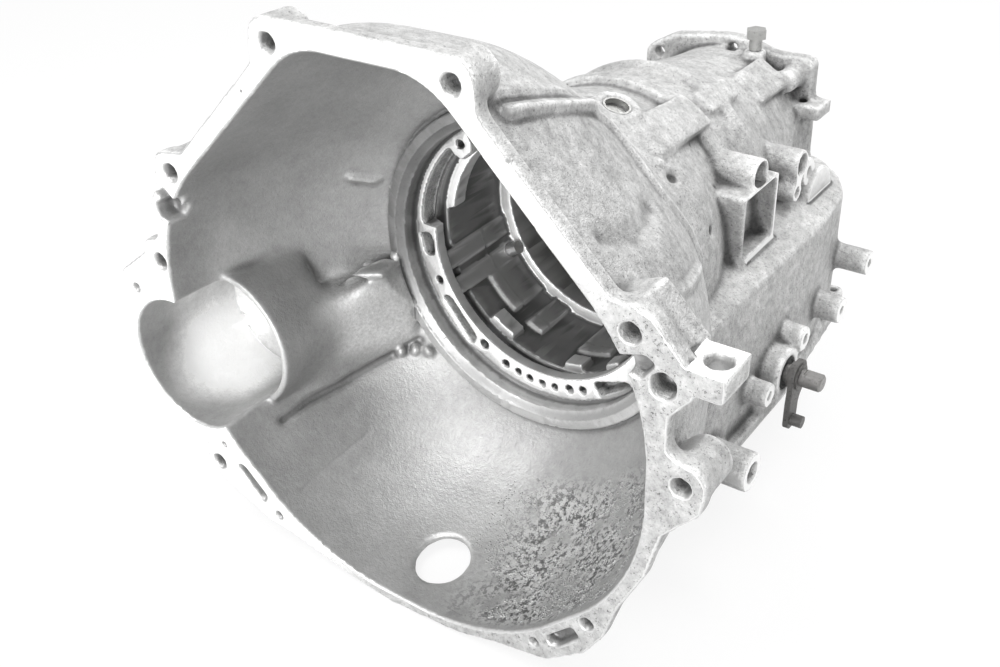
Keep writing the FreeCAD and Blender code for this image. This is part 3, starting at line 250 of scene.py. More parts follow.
def makeFloor(setup):
    reach = setup["floorReach"]
    corners = [(-reach, -reach), (reach, -reach), (reach, reach), (-reach, reach)]
    mesh = bpy.data.meshes.new("floor")
    mesh.from_pydata([(x, y, cadLow.z) for x, y in corners], [], [(0, 1, 2, 3)])
    floor = bpy.data.objects.new("floor", mesh)
    scene.collection.objects.link(floor)
    material = bpy.data.materials.new("floorPaper")
    shading = Shading(material)
    paper = shading.node("ShaderNodeBsdfDiffuse", {}, {"Color": (setup["floorWhite"],) * 3 + (1,)})
    white = shading.node("ShaderNodeEmission", {}, {"Strength": 1.0})
    lift = shading.node("ShaderNodeLightPath", out="Is Camera Ray") * setup["floorLift"]
    surface = shading.node("ShaderNodeMixShader", {}, {0: lift, 1: paper, 2: white})
    shading.node("ShaderNodeOutputMaterial", {}, {"Surface": surface}, out=None)
    mesh.materials.append(material)


makeWorld(studio)
makeLamps(studio["lamps"])
makeFloor(studio)
scene.view_settings.view_transform = "Standard"
print("camera and studio set")


# Cast aluminium of the case: each surface has a level and the shares of the noises in it. A place is a
# product of ramps, each of which gives what is measured, where it is 0 and where it is 1.

castNoises = {
    # name: noises per metre, detail, roughness, seed, stretch
    "stain": (9, 2, 0.55),
    "cloud": (28, 3, 0.60, 3.1),
    "mottle": (150, 4, 0.72, 8.3),
    "grain": (420, 2, 0.60, 7.7),
    "grit": (1300, 1, 0.60, 1.3),
    "speck": (620, 2, 0.75, 5.5),
    "blotch": (26, 3, 0.72, 9.2),
    "streak": (75, 4, 0.70, 4.4, (1.0, 0.30, 1.0)),
    "pit": (260, 4, 0.80, 2.6),
}
caseFinish = {
    "metallic": 0.60,
    "tint": (1.0, 1.0, 0.995),
    "bumpDepth": 0.0009,
    "relief": {"grain": 0.95, "grit": 0.50},
    "flatter": {"inside": 0.68, "smooth": 0.93},  # how much less relief these surfaces have
    "speckSpan": (0.58, 0.68),
    # spans of the hollow attribute that count as an inner corner, darkened by grime and painted shade, and
    # as an outer edge
    "grimeAndShadeSpan": (0.06, 0.62),
    "wearSpan": (0.20, 0.90),
    "inside": {
        "level": 0.365,
        "tone": {"plain": 0.34, "stain": 0.46, "cloud": 0.40, "mottle": 0.46},
        "grit": {"plain": 0.82, "grit": 0.16, "grain": 0.20},
        "specks": 0.12,
        "grimeAndShade": 0.45,
        "wear": 0.50,
        "rough": {"plain": 0.33, "cloud": 0.20},
    },
    "outside": {
        "level": 0.46,
        "tone": {"plain": -0.10, "stain": 0.30, "cloud": 0.65, "mottle": 1.35},
        "grit": {"plain": 0.62, "grit": 0.36, "grain": 0.40},
        "specks": 0.45,
        "grimeAndShade": 0.72,
        "wear": 0.40,
        "rough": {"plain": 0.58, "grit": 0.16},
        "below": (-0.6, 0.5, 0.70, 1.0),  # painted shade: darker where it faces down
    },
    "machined": {
        "level": 0.84,
        "dirt": (6.0, -3.2, 0.9),  # share of x, z and stain: more towards the lower right
        "dirtSpan": (0.50, 1.15),
        "worn": {"plain": 0.16, "speck": 0.30, "grit": -0.14, "mottle": 0.80},
        "rough": (0.34, 0.25),  # clean, and what dirt adds
    },
    "seat": {
        "level": 0.84,
        "tone": {"plain": 0.12, "cloud": 0.20},
        "low": (0.0, -0.085, 0.24),  # painted light: paler towards the bottom
        "face": 0.48,
        "specks": 0.15,
        "grimeAndShade": 0.55,
        "wear": 0.50,
        "rough": 0.42,
    },
    "barrel": {
        "level": 0.24,
        "tone": {"plain": 0.5, "stain": 0.4, "cloud": 0.5},
        "paintedShine": {"plain": 0.6, "cloud": 0.7},  # painted highlight on the lugs and wall near the mouth
        "lugs": 0.85,
        "lugPlace": (("ny", -0.75, -0.92), ("y", 0.262, 0.236)),
        "wall": 0.21,
        "wallPlace": (("reach", 0.0935, 0.0915), ("y", 0.25, 0.20)),
        "grimeAndShade": 0.50,
        "wear": 0.30,
        "rough": 0.45,
    },
    "patch": {  # corroded blotches low on the bell's right
        "place": (("x", 0.005, 0.060), ("z", -0.085, -0.118), ("y", 0.128, 0.104), ("y", 0.002, 0.014)),
        "tone": {"blotch": 1.2, "streak": 0.5},
        "toneSpan": (0.68, 0.88),
        "pitSpan": (0.47, 0.57),
        "dark": 0.72,  # how much darker the pits are
        "crust": 0.17,  # how much paler the metal between them is
        "rough": 0.3,
    },
    "gallery": {  # painted light that makes the gallery's skin brighter
        "height": -0.056,
        "span": (0.036, 0.018),
        "place": (("y", 0.082, 0.104), ("x", -0.092, -0.104)),
        "paintedGain": {"plain": 0.25, "grain": 0.9},
    },
    "pocket": {  # painted glare on the bored part of the starter pocket
        "middle": (-0.2200, 0.0680, -0.0930),
        "reach": 0.050,
        "core": 0.2,  # share of the reach that is full
        "alongY": 0.5,  # how much the distance along y counts
        "sides": (0.9, 0.6),  # not on what faces along the axis
        "wall": 0.22,
        "wallPlace": (("x", -0.170, -0.190), ("y", 0.02, 0.05)),
        "paintedGain": 3.2,
    },
}
caseFaces = {  # metres
    "rear": 0.450,  # y of the rear flange's face
    "pan": -0.122,  # z of the pan's rail
    "depth": (0.0009, 0.0005),  # where a face's colour begins and is full, behind it
    "mouthFacing": ("ny", -0.85, -0.95),
    "rearFacing": ("ny", 0.85, 0.95),
    "lug": 0.077,  # z of the side lug's top
    "lugNear": 0.0012,
    "lugPlace": (("nz", 0.9, 0.97), ("x", 0.178, 0.181)),
    # least y of the bosses' ends, and their x
    "bossEnds": {0.245: (0.106, 0.108, 0.109, 0.111), 0.140: (0.148, 0.150, 0.165)},
    "bossNear": 0.0013,
    "bossFacing": ("nx", 0.75, 0.92),
    "seatFront": 0.140,
    "seatBack": 0.1585,
    "seatRadius": 0.1185,
    "seatRing": (("ny", -0.80, -0.95), ("reach", 0.1075, 0.1055)),
    "spanFade": 0.001,  # over which a span along y begins
    # hollow of the barrel: (y where it begins, radius)
    "hollow": ((0.1585, 0.0972), (0.2425, 0.0832), (0.3305, 0.0712), (0.3600, 0.0560)),
    "stepFade": 0.0004,
    "hollowFade": (-0.0002, 0.0004),
    # the bell's inside faces the axis or the mouth
    "facesAxis": (0.02, -0.16),
    "facesMouth": (-0.35, -0.6),
    "bell": (("y", 0.1500, 0.1480), ("ny", 0.6, 0.3)),
}


class CaseAluminium(Finish):

    def __init__(self, setup, noises, faces):
        super().__init__("caseAluminium", noises)
        self.setup = setup
        self.noises["speck"] = self.noises["speck"].ramp(*setup["speckSpan"])
        self.reach = (self.x * self.x + self.z * self.z).power(0.5)
        self.outwards = (self.x * self.nx + self.z * self.nz) / self.reach
        hollow = self.node("ShaderNodeAttribute", {"attribute_name": "hollow"}, out="Fac")
        self.grimeAndShade = hollow.ramp(*setup["grimeAndShadeSpan"])  # inner corners hold grime and painted shade
        self.rubbed = (-hollow).ramp(*setup["wearSpan"])  # outer edges are rubbed bright
        self.findFaces(faces)
        self.paint()

    def findFaces(self, faces):  # where each kind of surface lies
        outer, inner = faces["depth"]
        rearFace, seatFront, seatBack = faces["rear"], faces["seatFront"], faces["seatBack"]
        mouth = self.within(("y", outer, inner), faces["mouthFacing"])
        rear = self.within(("y", rearFace - outer, rearFace - inner), faces["rearFacing"])
        lugTop = self.z.near(faces["lug"], faces["lugNear"]) * self.within(*faces["lugPlace"])
        self.endFaces = mouth.atLeast(rear)
        self.machined = self.endFaces.atLeast(lugTop)
        fade, spanFade = faces["stepFade"], faces["spanFade"]
        for least, ends in faces["bossEnds"].items():
            square = self.within(("y", least - spanFade, least), faces["bossFacing"])
            for end in ends:
                self.machined = self.machined.atLeast(self.x.near(end, faces["bossNear"]) * square)
        self.seat = self.within(
            ("reach", faces["seatRadius"] + fade, faces["seatRadius"] - fade),
            ("y", seatFront, seatFront + spanFade), ("y", seatBack + 2 * fade, seatBack))
        self.seatFace = self.within(*faces["seatRing"])
        (_, limit), *steps = faces["hollow"]
        before = limit
        for start, radius in steps:
            limit = limit - self.y.ramp(start - fade, start + fade) * (before - radius)
            before = radius
        behindSeat = self.y.ramp(seatBack, seatBack + spanFade)
        self.barrel = (limit - self.reach).ramp(*faces["hollowFade"]) * behindSeat
        inwards = self.outwards.ramp(*faces["facesAxis"]).atLeast(self.ny.ramp(*faces["facesMouth"]))
        self.inside = inwards * self.within(*faces["bell"]) * (1.0 - self.seat)

    def corners(self, level, look):  # darker in the inner corners from grime and painted shade, brighter on the outer edges
        return level * (1.0 - self.grimeAndShade * look["grimeAndShade"]) * (1.0 + self.rubbed * look["wear"])

    def castTone(self, look):  # a level with its stains, specks and grit
        specks = 1.0 - self.noises["speck"] * look["specks"]
        return look["level"] * self.blend(look["tone"]) * specks * self.blend(look["grit"])

    def pocketGlare(self, look):  # painted glare: how much brighter the starter pocket's bore is
        px, py, pz = look["middle"]
        x, y, z = self.x - px, self.y - py, self.z - pz
        away = (x * x + y * y * look["alongY"] + z * z).power(0.5)
        glow = away.ramp(look["reach"], look["reach"] * look["core"]) * self.ny.size().ramp(*look["sides"])
        wall = self.within(*look["wallPlace"]) * look["wall"]
        return 1.0 + (glow + wall) * look["paintedGain"]

    def galleryPaintedLight(self, look):  # painted light: how much brighter the gallery's skin is
        height = (self.z - look["height"]).size().ramp(*look["span"])
        return 1.0 + height * self.within(*look["place"]) * self.blend(look["paintedGain"])

    def paint(self):
        setup, noises = self.setup, self.noises
        inside, outside, seat, barrel = (setup[name] for name in ("inside", "outside", "seat", "barrel"))
        machined, patch = setup["machined"], setup["patch"]

        # corroded patch, with streaks towards the flange
        pitted = self.blend(patch["tone"]).ramp(*patch["toneSpan"]) * self.inside
        pitted = pitted * self.within(*patch["place"])
        pits = noises["pit"].ramp(*patch["pitSpan"])
        pitMask = pitted * pits

        # satin inside of the bell, and the sand-cast outside
        inTone = self.castTone(inside) * (1.0 - pitMask * patch["dark"])
        inTone = inTone + pitted * (1.0 - pits) * patch["crust"]
        # grime, painted shade and wear at the corners, and painted light on the gallery's skin
        inTone = self.corners(inTone, inside) * self.galleryPaintedLight(setup["gallery"])
        # painted glare in the starter pocket's bore
        inTone = inTone * self.pocketGlare(setup["pocket"])
        # painted shade on the outside where it faces down
        outTone = self.corners(self.castTone(outside), outside) * self.nz.ramp(*outside["below"])
        level = inTone.over(outTone, self.inside)

        # turned barrel, darker, with a painted highlight on the lugs and wall near the mouth
        lugs = self.within(*barrel["lugPlace"]) * barrel["lugs"]
        wall = self.within(*barrel["wallPlace"]) * barrel["wall"]
        barrelTone = barrel["level"] * self.blend(barrel["tone"]) * (1.0 - self.grimeAndShade * barrel["grimeAndShade"])
        barrelTone = barrelTone + (lugs + wall) * self.blend(barrel["paintedShine"]) + self.rubbed * barrel["wear"]
        level = barrelTone.over(level, self.barrel)

        # machined faces, dulled and speckled towards the lower right
        alongX, alongZ, stained = machined["dirt"]
        dirt = (self.x * alongX + self.z * alongZ + noises["stain"] * stained).ramp(*machined["dirtSpan"])
        faceTone = machined["level"] * (1.0 - dirt * self.blend(machined["worn"]) * self.endFaces)
        level = faceTone.over(level, self.machined)

        # turned pump seat, with painted light that makes it paler towards the bottom
        top, bottom, share = seat["low"]
        seatTone = self.blend(seat["tone"]) + self.z.ramp(top, bottom) * share + self.seatFace * seat["face"]
        seatTone = seat["level"] * seatTone * (1.0 - noises["speck"] * seat["specks"])
        level = self.corners(seatTone, seat).over(level, self.seat)

        rough = self.blend(inside["rough"]).over(self.blend(outside["rough"]), self.inside)
        rough = rough + pitMask * patch["rough"]
        clean, dirty = machined["rough"]
        rough = (clean + dirt * dirty).over(rough, self.machined)
        rough = rough * (1.0 - self.seat) + self.seat * seat["rough"]
        rough = rough * (1.0 - self.barrel) + self.barrel * barrel["rough"]

        smooth = self.machined.atLeast(self.seat).atLeast(self.barrel)
        height = self.blend(setup["relief"]) * (1.0 - self.inside * setup["flatter"]["inside"])
        height = height * (1.0 - smooth * setup["flatter"]["smooth"])
        self.metal(level, rough, height, setup["tint"], setup["metallic"], setup["bumpDepth"])


castMetal = CaseAluminium(caseFinish, castNoises, caseFaces).material


# The casting's surface: inner corners are filled, sand-cast edges rounded, machined faces kept true

castSkin = {
    "voxel": 0.0015,
    "sameSpot": 1e-5,  # points closer than this are one
    "evening": 3,  # passes that take the voxels' steps away
    "fillets": 18,  # passes that fill the inner corners
    "rounding": 5,  # passes over the rough surfaces
    "trueing": 2,  # passes over the machined ones
    "search": 0.004,  # how far a machined point looks for the CAD surface
    "snap": 0.0012,  # how far it may move to it
    "agree": 0.88,  # least agreement of the two normals
    "mostFaces": 192000,
    "hollowPasses": 22,  # passes whose lift, over this depth, marks inner corners and outer edges
    "hollowDepth": 0.0012,
    "zoneFade": 0.25,  # share of a soft zone over which it fades out
    # name: middle, reach along x, y and z, passes, and whether they only fill inner corners
    "softZones": {
        "starterHump": ((-0.148, 0.075, -0.052), (0.044, 0.062, 0.062), 160, True),
        "domeCrown": ((-0.141, 0.098, -0.030), (0.024, 0.034, 0.034), 90, False),
        "domeSide": ((-0.128, 0.088, -0.070), (0.020, 0.034, 0.034), 60, False),
        "pocketBack": ((-0.195, 0.082, -0.055), (0.060, 0.040, 0.060), 220, True),
    },
    # name: half width, height, and the route's points: small ribs, runs, pits and grooves of the mould
    "mouldMarks": {
        "bellRun": (0.0050, 0.0028, (
            (-0.1348, 0.1264, 0.0461), (-0.1252, 0.1380, 0.0415), (-0.1120, 0.1405, 0.0405))),
        "galleryFin": (0.0050, 0.0045, ((-0.1329, 0.1122, -0.0313), (-0.1131, 0.1400, -0.0169))),
        "lowerLump": (0.0044, 0.0065, ((-0.1072, 0.1300, -0.0917), (-0.1060, 0.1305, -0.0900))),
        "middleLump": (0.0042, 0.0060, ((-0.0983, 0.1370, -0.0906), (-0.0975, 0.1372, -0.0880))),
        "upperLump": (0.0042, 0.0060, ((-0.0883, 0.1424, -0.0919), (-0.0900, 0.1418, -0.0900))),
        "floorScore": (0.0024, -0.0010, (
            (-0.1129, 0.0182, -0.1492), (-0.1098, 0.0581, -0.1428), (-0.1038, 0.0857, -0.1350))),
        "floorGroove": (0.0050, -0.0036, (
            (-0.1447, 0.0402, -0.1139), (-0.1406, 0.0648, -0.1094), (-0.1316, 0.0880, -0.1063),
            (-0.1072, 0.1300, -0.0917), (-0.0968, 0.1410, -0.0839))),
        "earRib": (0.0058, 0.0068, (
            (0.0730, 0.0283, 0.1692), (0.0720, 0.0600, 0.1600), (0.0685, 0.1120, 0.1430))),
        "shoulderRib": (0.0055, 0.0034, (
            (0.0685, 0.1120, 0.1430), (0.0746, 0.1269, 0.1265), (0.0927, 0.1281, 0.1075),
            (0.1103, 0.1267, 0.0906), (0.1189, 0.1436, 0.0631), (0.1259, 0.1447, 0.0465))),
        "partingRidge": (0.0046, 0.0034, (
            (0.1367, 0.1221, 0.0587), (0.1411, 0.1087, 0.0621), (0.1498, 0.0819, 0.0690),
            (0.1600, 0.0520, 0.0800))),
        "shallowDish": (0.0110, -0.0034, (
            (0.1267, 0.0327, 0.1141), (0.1307, 0.0437, 0.1080), (0.1305, 0.0603, 0.1040),
            (0.1252, 0.0801, 0.1021), (0.1181, 0.0961, 0.1017))),
        "barrelPit": (0.0058, -0.0048, ((0.0832, 0.1864, 0.0747), (0.0842, 0.1900, 0.0735))),
        "barrelLump": (0.0042, 0.0038, ((0.0749, 0.1828, 0.0836), (0.0757, 0.1850, 0.0829))),
        "sidePit": (0.0042, -0.0036, ((0.1035, 0.2061, 0.0331), (0.1030, 0.2085, 0.0345))),
    },
}
machinedZones = {  # where the skin's points are held to the CAD surface, metres
    "near": 0.0012,
    "facing": 0.4,  # least share of the normal along the face's
    "bossFacing": 0.5,
    "panFront": 0.165,
    "seatRadius": 0.1195,
    "seatSpan": (0.1395, 0.1600),
    "hollowSlack": 0.0002,
    "lugSide": 0.178,
    "lugSpan": (0.0755, 0.0785),
    "lugBack": 0.034,
}


def machinedPoints(place, facing, zones, faces):
    x, y, z = place.T
    nx, ny, nz = facing.T
    near, square = zones["near"], zones["facing"]
    cut = (y < near) & (ny < -square)
    cut |= (y > faces["rear"] - near) & (ny > square)
    cut |= (z < faces["pan"] + near) & (nz < -square) & (y > zones["panFront"])
    reach = np.hypot(x, z)
    front, back = zones["seatSpan"]
    cut |= (reach < zones["seatRadius"]) & (y > front) & (y < back)
    limit = np.full(len(y), -1.0)  # the barrel's radius, none in front of it
    for start, radius in faces["hollow"]:
        limit[y > start] = radius
    cut |= reach < limit + zones["hollowSlack"]
    low, high = zones["lugSpan"]
    cut |= (x > zones["lugSide"]) & (z > low) & (z < high) & (y < zones["lugBack"])
    for least, ends in faces["bossEnds"].items():
        for end in ends:
            cut |= (np.abs(x - end) < near) & (nx > zones["bossFacing"]) & (y > least)
    return cut


class Points:  # the points of a mesh, and what its edges join

    step = 0.5  # share of the way to the neighbours' middle in one pass
    turnEvery = 15  # passes between two readings of the normals

    def __init__(self, mesh):
        self.mesh = mesh
        self.place = self.read(mesh.vertices, "co")
        self.turn()
        edges = np.empty(len(mesh.edges) * 2, int)
        mesh.edges.foreach_get("vertices", edges)
        self.edges = edges.reshape(-1, 2)

    def read(self, items, name):
        values = np.empty(len(items) * 3)
        items.foreach_get(name, values)
        return values.reshape(-1, 3)

    def turn(self):
        self.mesh.vertices.foreach_set("co", self.place.ravel())
        self.mesh.update()
        self.facing = self.read(self.mesh.vertices, "normal")

    def relax(self, chosen, passes, fill=False, weight=1.0):
        # chosen points move towards their neighbours' middle, or only outwards where fill is set
        inner = chosen[self.edges].all(axis=1)
        count = int(chosen.sum())
        number = np.full(len(chosen), -1)
        number[chosen] = np.arange(count)
        local = number[self.edges[inner]]
        first = np.concatenate((local[:, 0], local[:, 1]))
        second = np.concatenate((local[:, 1], local[:, 0]))
        share = np.bincount(first, minlength=count).astype(float)
        share[share == 0] = 1
        spot = self.place[chosen]
        for turn in range(passes):
            if fill and turn % self.turnEvery == 0:
                self.place[chosen] = spot
                self.turn()
                normal = self.facing[chosen]
            move = np.empty_like(spot)
            for axis in range(3):
                move[:, axis] = np.bincount(first, weights=spot[second, axis], minlength=count) / share
            move = (move - spot) * self.step
            if fill:
                outward = (move * normal).sum(axis=1)
                move = normal * np.maximum(outward, 0)[:, None]
            spot = spot + move * weight
        self.place[chosen] = spot
        self.turn()

    def raiseMarks(self, marks):
        for halfWidth, height, route in marks:
            away = np.full(len(self.place), np.inf)
            for start, end in zip(route, route[1:]):
                start, along = np.array(start), np.array(end) - np.array(start)
                share = np.clip(((self.place - start) @ along) / (along @ along), 0, 1)
                gap = np.linalg.norm(self.place - start - share[:, None] * along, axis=1) / halfWidth
                away = np.minimum(away, gap)
            lift = height * np.clip(1 - away ** 2, 0, None) ** 2
            self.place += self.facing * lift[:, None]
        self.turn()

    def snap(self, chosen, surface, setup):  # chosen points go to the surface where the normals agree
        for index in np.flatnonzero(chosen):
            near, normal, _, distance = surface.find_nearest(Vector(self.place[index]), setup["search"])
            agreed = near and normal.dot(Vector(self.facing[index])) > setup["agree"]
            if agreed and distance < setup["snap"]:
                self.place[index] = near
        self.turn()


def settledMesh(piece):  # the piece's mesh with its modifiers applied, and none left on it
    mesh = bpy.data.meshes.new_from_object(piece.evaluated_get(bpy.context.evaluated_depsgraph_get()))
    piece.modifiers.clear()
    piece.data = mesh
    return mesh


def makeCastSkin(setup):
    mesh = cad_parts["main_case"].data.copy()
    tool = bmesh.new()
    tool.from_mesh(mesh)
    bmesh.ops.remove_doubles(tool, verts=tool.verts, dist=setup["sameSpot"])
    tool.to_mesh(mesh)
    surface = BVHTree.FromBMesh(tool)
    tool.free()
    skin = bpy.data.objects.new("castCase", mesh)
    scene.collection.objects.link(skin)
    remesh = skin.modifiers.new("remesh", "REMESH")
    remesh.mode = "VOXEL"
    remesh.voxel_size = setup["voxel"]
    fine = settledMesh(skin)
    points = Points(fine)
    cut = machinedPoints(points.place, points.facing, machinedZones, caseFaces)
    print("casting remeshed,", len(cut), "points,", int(cut.sum()), "machined")

    points.relax(~cut, setup["evening"])
    points.relax(~cut, setup["fillets"], fill=True)
    for middle, reach, passes, fillOnly in setup["softZones"].values():
        away = np.linalg.norm((points.place - middle) / reach, axis=1)
        chosen = (away < 1) & ~cut
        fade = np.clip((1 - away[chosen]) / setup["zoneFade"], 0, 1)[:, None]
        points.relax(chosen, passes, fill=fillOnly, weight=fade)
    points.raiseMarks(setup["mouldMarks"].values())
    points.relax(~cut, setup["rounding"])
    everywhere = np.ones(len(cut), bool)
    points.relax(everywhere, setup["trueing"])
    points.snap(cut, surface, setup)
    print("casting smoothed")

    # what further passes would lift is hollow, and what they would wear down stands out
    kept, normal = points.place.copy(), points.facing.copy()
    points.relax(everywhere, setup["hollowPasses"])
    hollow = ((points.place - kept) * normal).sum(axis=1) / setup["hollowDepth"]
    points.place = kept
    points.turn()
    fine.attributes.new("hollow", "FLOAT", "POINT").data.foreach_set("value", hollow)

    thin = skin.modifiers.new("thin", "DECIMATE")
    thin.ratio = setup["mostFaces"] / sum(len(face.vertices) - 2 for face in fine.polygons)
    even = skin.modifiers.new("even", "WEIGHTED_NORMAL")
    even.keep_sharp = False
    thinned = settledMesh(skin)
    outer = Points(thinned)
    outer.place = np.clip(outer.place, cadLow, cadHigh)  # no point past the machined faces
    outer.turn()
    thinned.materials.clear()
    thinned.materials.append(castMetal)
    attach(skin, "case")
    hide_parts("main_case")
    print("casting skin has", len(thinned.polygons), "faces")
    return skin


castCase = makeCastSkin(castSkin)


# Repeated forms grown by geometry nodes

class Growth:  # a geometry tree whose nodes are made by one method

    kinds = {float: "NodeSocketFloat", int: "NodeSocketInt"}

    def __init__(self, name, sizes):
        self.group = bpy.data.node_groups.new(name, "GeometryNodeTree")
        face = self.group.interface
        face.new_socket("Geometry", in_out="INPUT", socket_type="NodeSocketGeometry")
        for label, value in sizes.items():
            face.new_socket(label, in_out="INPUT", socket_type=self.kinds[type(value)]).default_value = value
        face.new_socket("Geometry", in_out="OUTPUT", socket_type="NodeSocketGeometry")
        self.sizes = sizes
        self.given = self.group.nodes.new("NodeGroupInput").outputs

    def node(self, kind, settings=None, values=None):
        made = self.group.nodes.new(kind)
        for name, value in (settings or {}).items():
            setattr(made, name, value)
        for name, value in (values or {}).items():
            if isinstance(value, bpy.types.NodeSocket):
                self.group.links.new(value, made.inputs[name])
            else:
                made.inputs[name].default_value = value
        return made.outputs

    def close(self, geometry, material):
        real = self.node("GeometryNodeRealizeInstances", {}, {"Geometry": geometry})
        painted = self.node("GeometryNodeSetMaterial", {}, {"Geometry": real[0], "Material": material})
        self.node("NodeGroupOutput", {}, {"Geometry": painted[0]})

    def grow(self, piece):
        modifier = piece.modifiers.new("growth", "NODES")
        modifier.node_group = self.group
        for item in self.group.interface.items_tree:
            if item.in_out == "INPUT" and item.name in self.sizes:
                modifier[item.identifier] = self.sizes[item.name]
        return settledMesh(piece)


# Corrosion crust on the bell's floor

crust = {
    "low": (0.006, 0.010, -0.175),  # box that holds it, metres
    "high": (0.150, 0.118, -0.098),
    "inwards": -0.02,  # most that a face it grows on may point outwards
    "sizes": {"Density": 620000.0, "Grain": 0.00075, "Blotches": 85.0, "Seed": 7},
    "blotchDetail": 3.0,
    "blotchSpan": (0.50, 0.64),
    "leastGrain": (0.4, 0.4, 0.25),
    "mostGrain": (1.5, 1.5, 0.7),
}


def crustGround(setup):  # the skin's faces that the crust grows on
    low, high = setup["low"], setup["high"]
    tool = bmesh.new()
    tool.from_mesh(castCase.data)
    spare = []
    for face in tool.faces:
        middle = face.calc_center_median()
        held = all(low[axis] < middle[axis] < high[axis] for axis in range(3))
        if not held or face.normal.x * middle.x + face.normal.z * middle.z > setup["inwards"]:
            spare.append(face)
    bmesh.ops.delete(tool, geom=spare, context="FACES")
    ground = bpy.data.meshes.new("corrosionCrust")
    tool.to_mesh(ground)
    tool.free()
    return ground


def makeCrust(setup):
    piece = bpy.data.objects.new("corrosionCrust", crustGround(setup))
    scene.collection.objects.link(piece)
    tree = Growth("crustGrowth", setup["sizes"])
    given = tree.given
    start, full = setup["blotchSpan"]
    blotches = tree.node("ShaderNodeTexNoise", {}, {
        "Scale": given["Blotches"], "Detail": setup["blotchDetail"]})
    share = tree.node("ShaderNodeMapRange", {}, {"Value": blotches[0], "From Min": start, "From Max": full})
    density = tree.node("ShaderNodeMath", {"operation": "MULTIPLY"}, {0: share[0], 1: given["Density"]})
    spots = tree.node("GeometryNodeDistributePointsOnFaces", {}, {
        "Mesh": given["Geometry"], "Density": density[0], "Seed": given["Seed"]})
    grain = tree.node("GeometryNodeMeshIcoSphere", {}, {"Radius": given["Grain"], "Subdivisions": 1})
    smooth = tree.node("GeometryNodeSetShadeSmooth", {}, {"Geometry": grain[0]})
    size = tree.node("FunctionNodeRandomValue", {"data_type": "FLOAT_VECTOR"}, {
        "Min": setup["leastGrain"], "Max": setup["mostGrain"], "Seed": given["Seed"]})
    grains = tree.node("GeometryNodeInstanceOnPoints", {}, {
        "Points": spots["Points"], "Instance": smooth[0], "Rotation": spots["Rotation"], "Scale": size[0]})
    tree.close(grains[0], castMetal)
    mesh = tree.grow(piece)
    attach(piece, "case")
    print("crust has", len(mesh.polygons), "faces")


makeCrust(crust)


# Small metal and rubber pieces that keep their shape from the frame

metalFinishes = {
    # level, roughness, stain share, tint
    "turnedSteel": (0.26, 0.36, 0.5, (1.0, 0.98, 0.96)),
    "leverSteel": (0.16, 0.5, 0.7, (1.0, 0.98, 0.96)),
    "platedSteel": (0.46, 0.36, 0.4, (1.0, 1.0, 0.98)),
    "boredBronze": (0.36, 0.3, 0.4, (1.0, 0.80, 0.52)),
    "brightSteel": (0.85, 0.3, 0.2, (1.0, 1.0, 1.0)),
}
wornLook = {
    "noises": {"cloud": (120, 4, 0.6), "grit": (1500, 3, 0.6, 2.2), "spots": (520, 4, 0.7, 6.1)},
    "cloudMiddle": 0.5,  # where the cloud leaves the level as it is
    "spotSpan": (0.52, 0.66),
    "spotShare": 0.5,  # of the stains
    "rough": {"cloud": 0.18, "spots": 0.15},
    "relief": {"grit": 0.5, "spots": -0.5},
    "depth": 0.00025,
}
rubberLook = {
    "noises": {"grit": (1800, 3, 0.6)},
    "tone": {"plain": 0.02, "grit": 0.02},
    "rough": {"plain": 0.55, "grit": 0.15},
    "relief": {"grit": 1.0},
    "depth": 0.0001,
}
pieceFinish = {
    "selector_shaft": "turnedSteel",
    "outer_selector_lever": "leverSteel",
    "detent_lever": "leverSteel",
    "detent_lever_nut": "platedSteel",
    "shaft_seal": "sealRubber",
    "shaft_lock_pin": "turnedSteel",
    "rear_bushing": "boredBronze",
    "barrel_cup_plug": "platedSteel",
    "vent": "platedSteel",
    "anchor_pin": "brightSteel",
    "parking_pawl": "leverSteel",
    "pawl_pin": "turnedSteel",
}


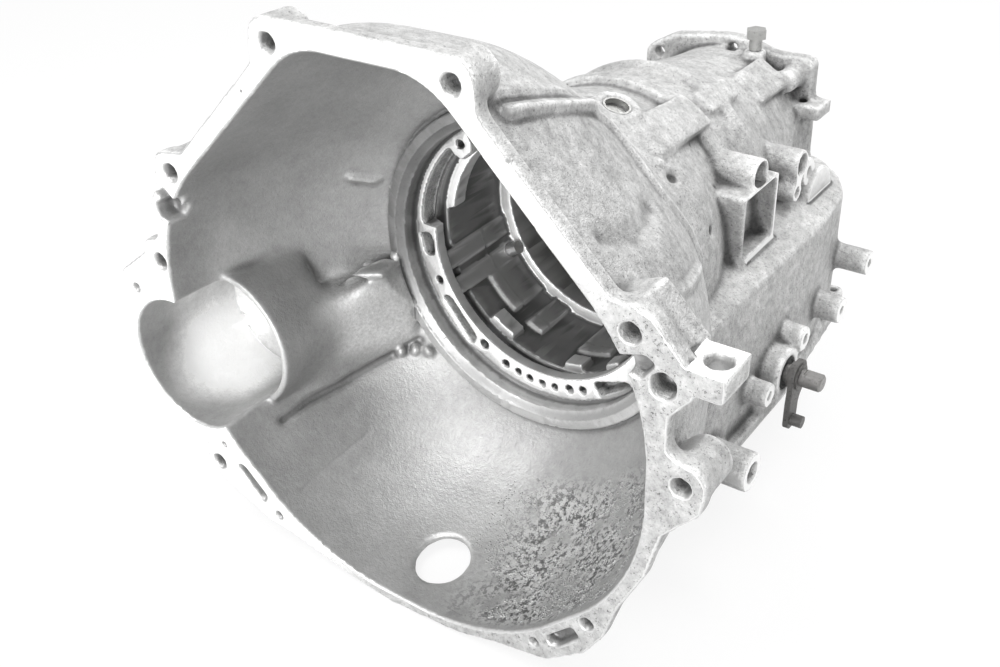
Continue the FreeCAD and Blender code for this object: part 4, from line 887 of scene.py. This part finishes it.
def wornMetal(look, name, level, roughness, stains, tint):
    finish = Finish(name, look["noises"])
    noises = finish.noises
    noises["spots"] = noises["spots"].ramp(*look["spotSpan"])
    tone = level * (1.0 + (noises["cloud"] - look["cloudMiddle"]) * stains)
    tone = tone * (1.0 - noises["spots"] * stains * look["spotShare"])
    rough = finish.blend({"plain": roughness, **look["rough"]})
    return finish.metal(tone, rough, finish.blend(look["relief"]), tint=tint, depth=look["depth"])


def sealRubber(look):
    finish = Finish("sealRubber", look["noises"])
    tone, rough, relief = (finish.blend(look[part]) for part in ("tone", "rough", "relief"))
    return finish.metal(tone, rough, relief, metallic=0.0, depth=look["depth"])


finishes = {name: wornMetal(wornLook, name, *values) for name, values in metalFinishes.items()}
finishes["sealRubber"] = sealRubber(rubberLook)
for node, finishName in pieceFinish.items():
    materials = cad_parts[node].data.materials
    materials.clear()
    materials.append(finishes[finishName])
print("small pieces finished")


# Coil spring on the pawl's pin, wound to the size of the CAD ring

coilSpring = {"wire": 0.0009, "turns": 4.0, "stepsPerTurn": 28, "sides": 12}


def makeSpring(setup, material):
    corners = [Vector(corner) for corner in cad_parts["pawl_spring"].bound_box]
    low, high = corners[0], corners[6]
    middle = (low + high) / 2
    wire = setup["wire"]
    piece = bpy.data.objects.new("coilSpring", bpy.data.meshes.new("coilSpring"))
    scene.collection.objects.link(piece)
    tree = Growth("springGrowth", {
        "Wire": wire,
        "Turns": setup["turns"],
        "Radius": (high.x - low.x) / 2 - wire,
        "Length": high.y - low.y - 2 * wire,
    })
    given = tree.given
    coil = tree.node("GeometryNodeCurveSpiral", {}, {
        "Resolution": setup["stepsPerTurn"], "Rotations": given["Turns"],
        "Start Radius": given["Radius"], "End Radius": given["Radius"], "Height": given["Length"]})
    section = tree.node("GeometryNodeCurvePrimitiveCircle", {}, {
        "Resolution": setup["sides"], "Radius": given["Wire"]})
    wound = tree.node("GeometryNodeCurveToMesh", {}, {
        "Curve": coil[0], "Profile Curve": section[0], "Fill Caps": True})
    placed = tree.node("GeometryNodeTransform", {}, {
        "Geometry": wound[0], "Rotation": (-math.pi / 2, 0, 0),
        "Translation": (middle.x, low.y + wire, middle.z)})
    tree.close(placed[0], material)
    mesh = tree.grow(piece)
    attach(piece, "case")
    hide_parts("pawl_spring")
    print("spring has", len(mesh.polygons), "faces")


makeSpring(coilSpring, finishes["turnedSteel"])
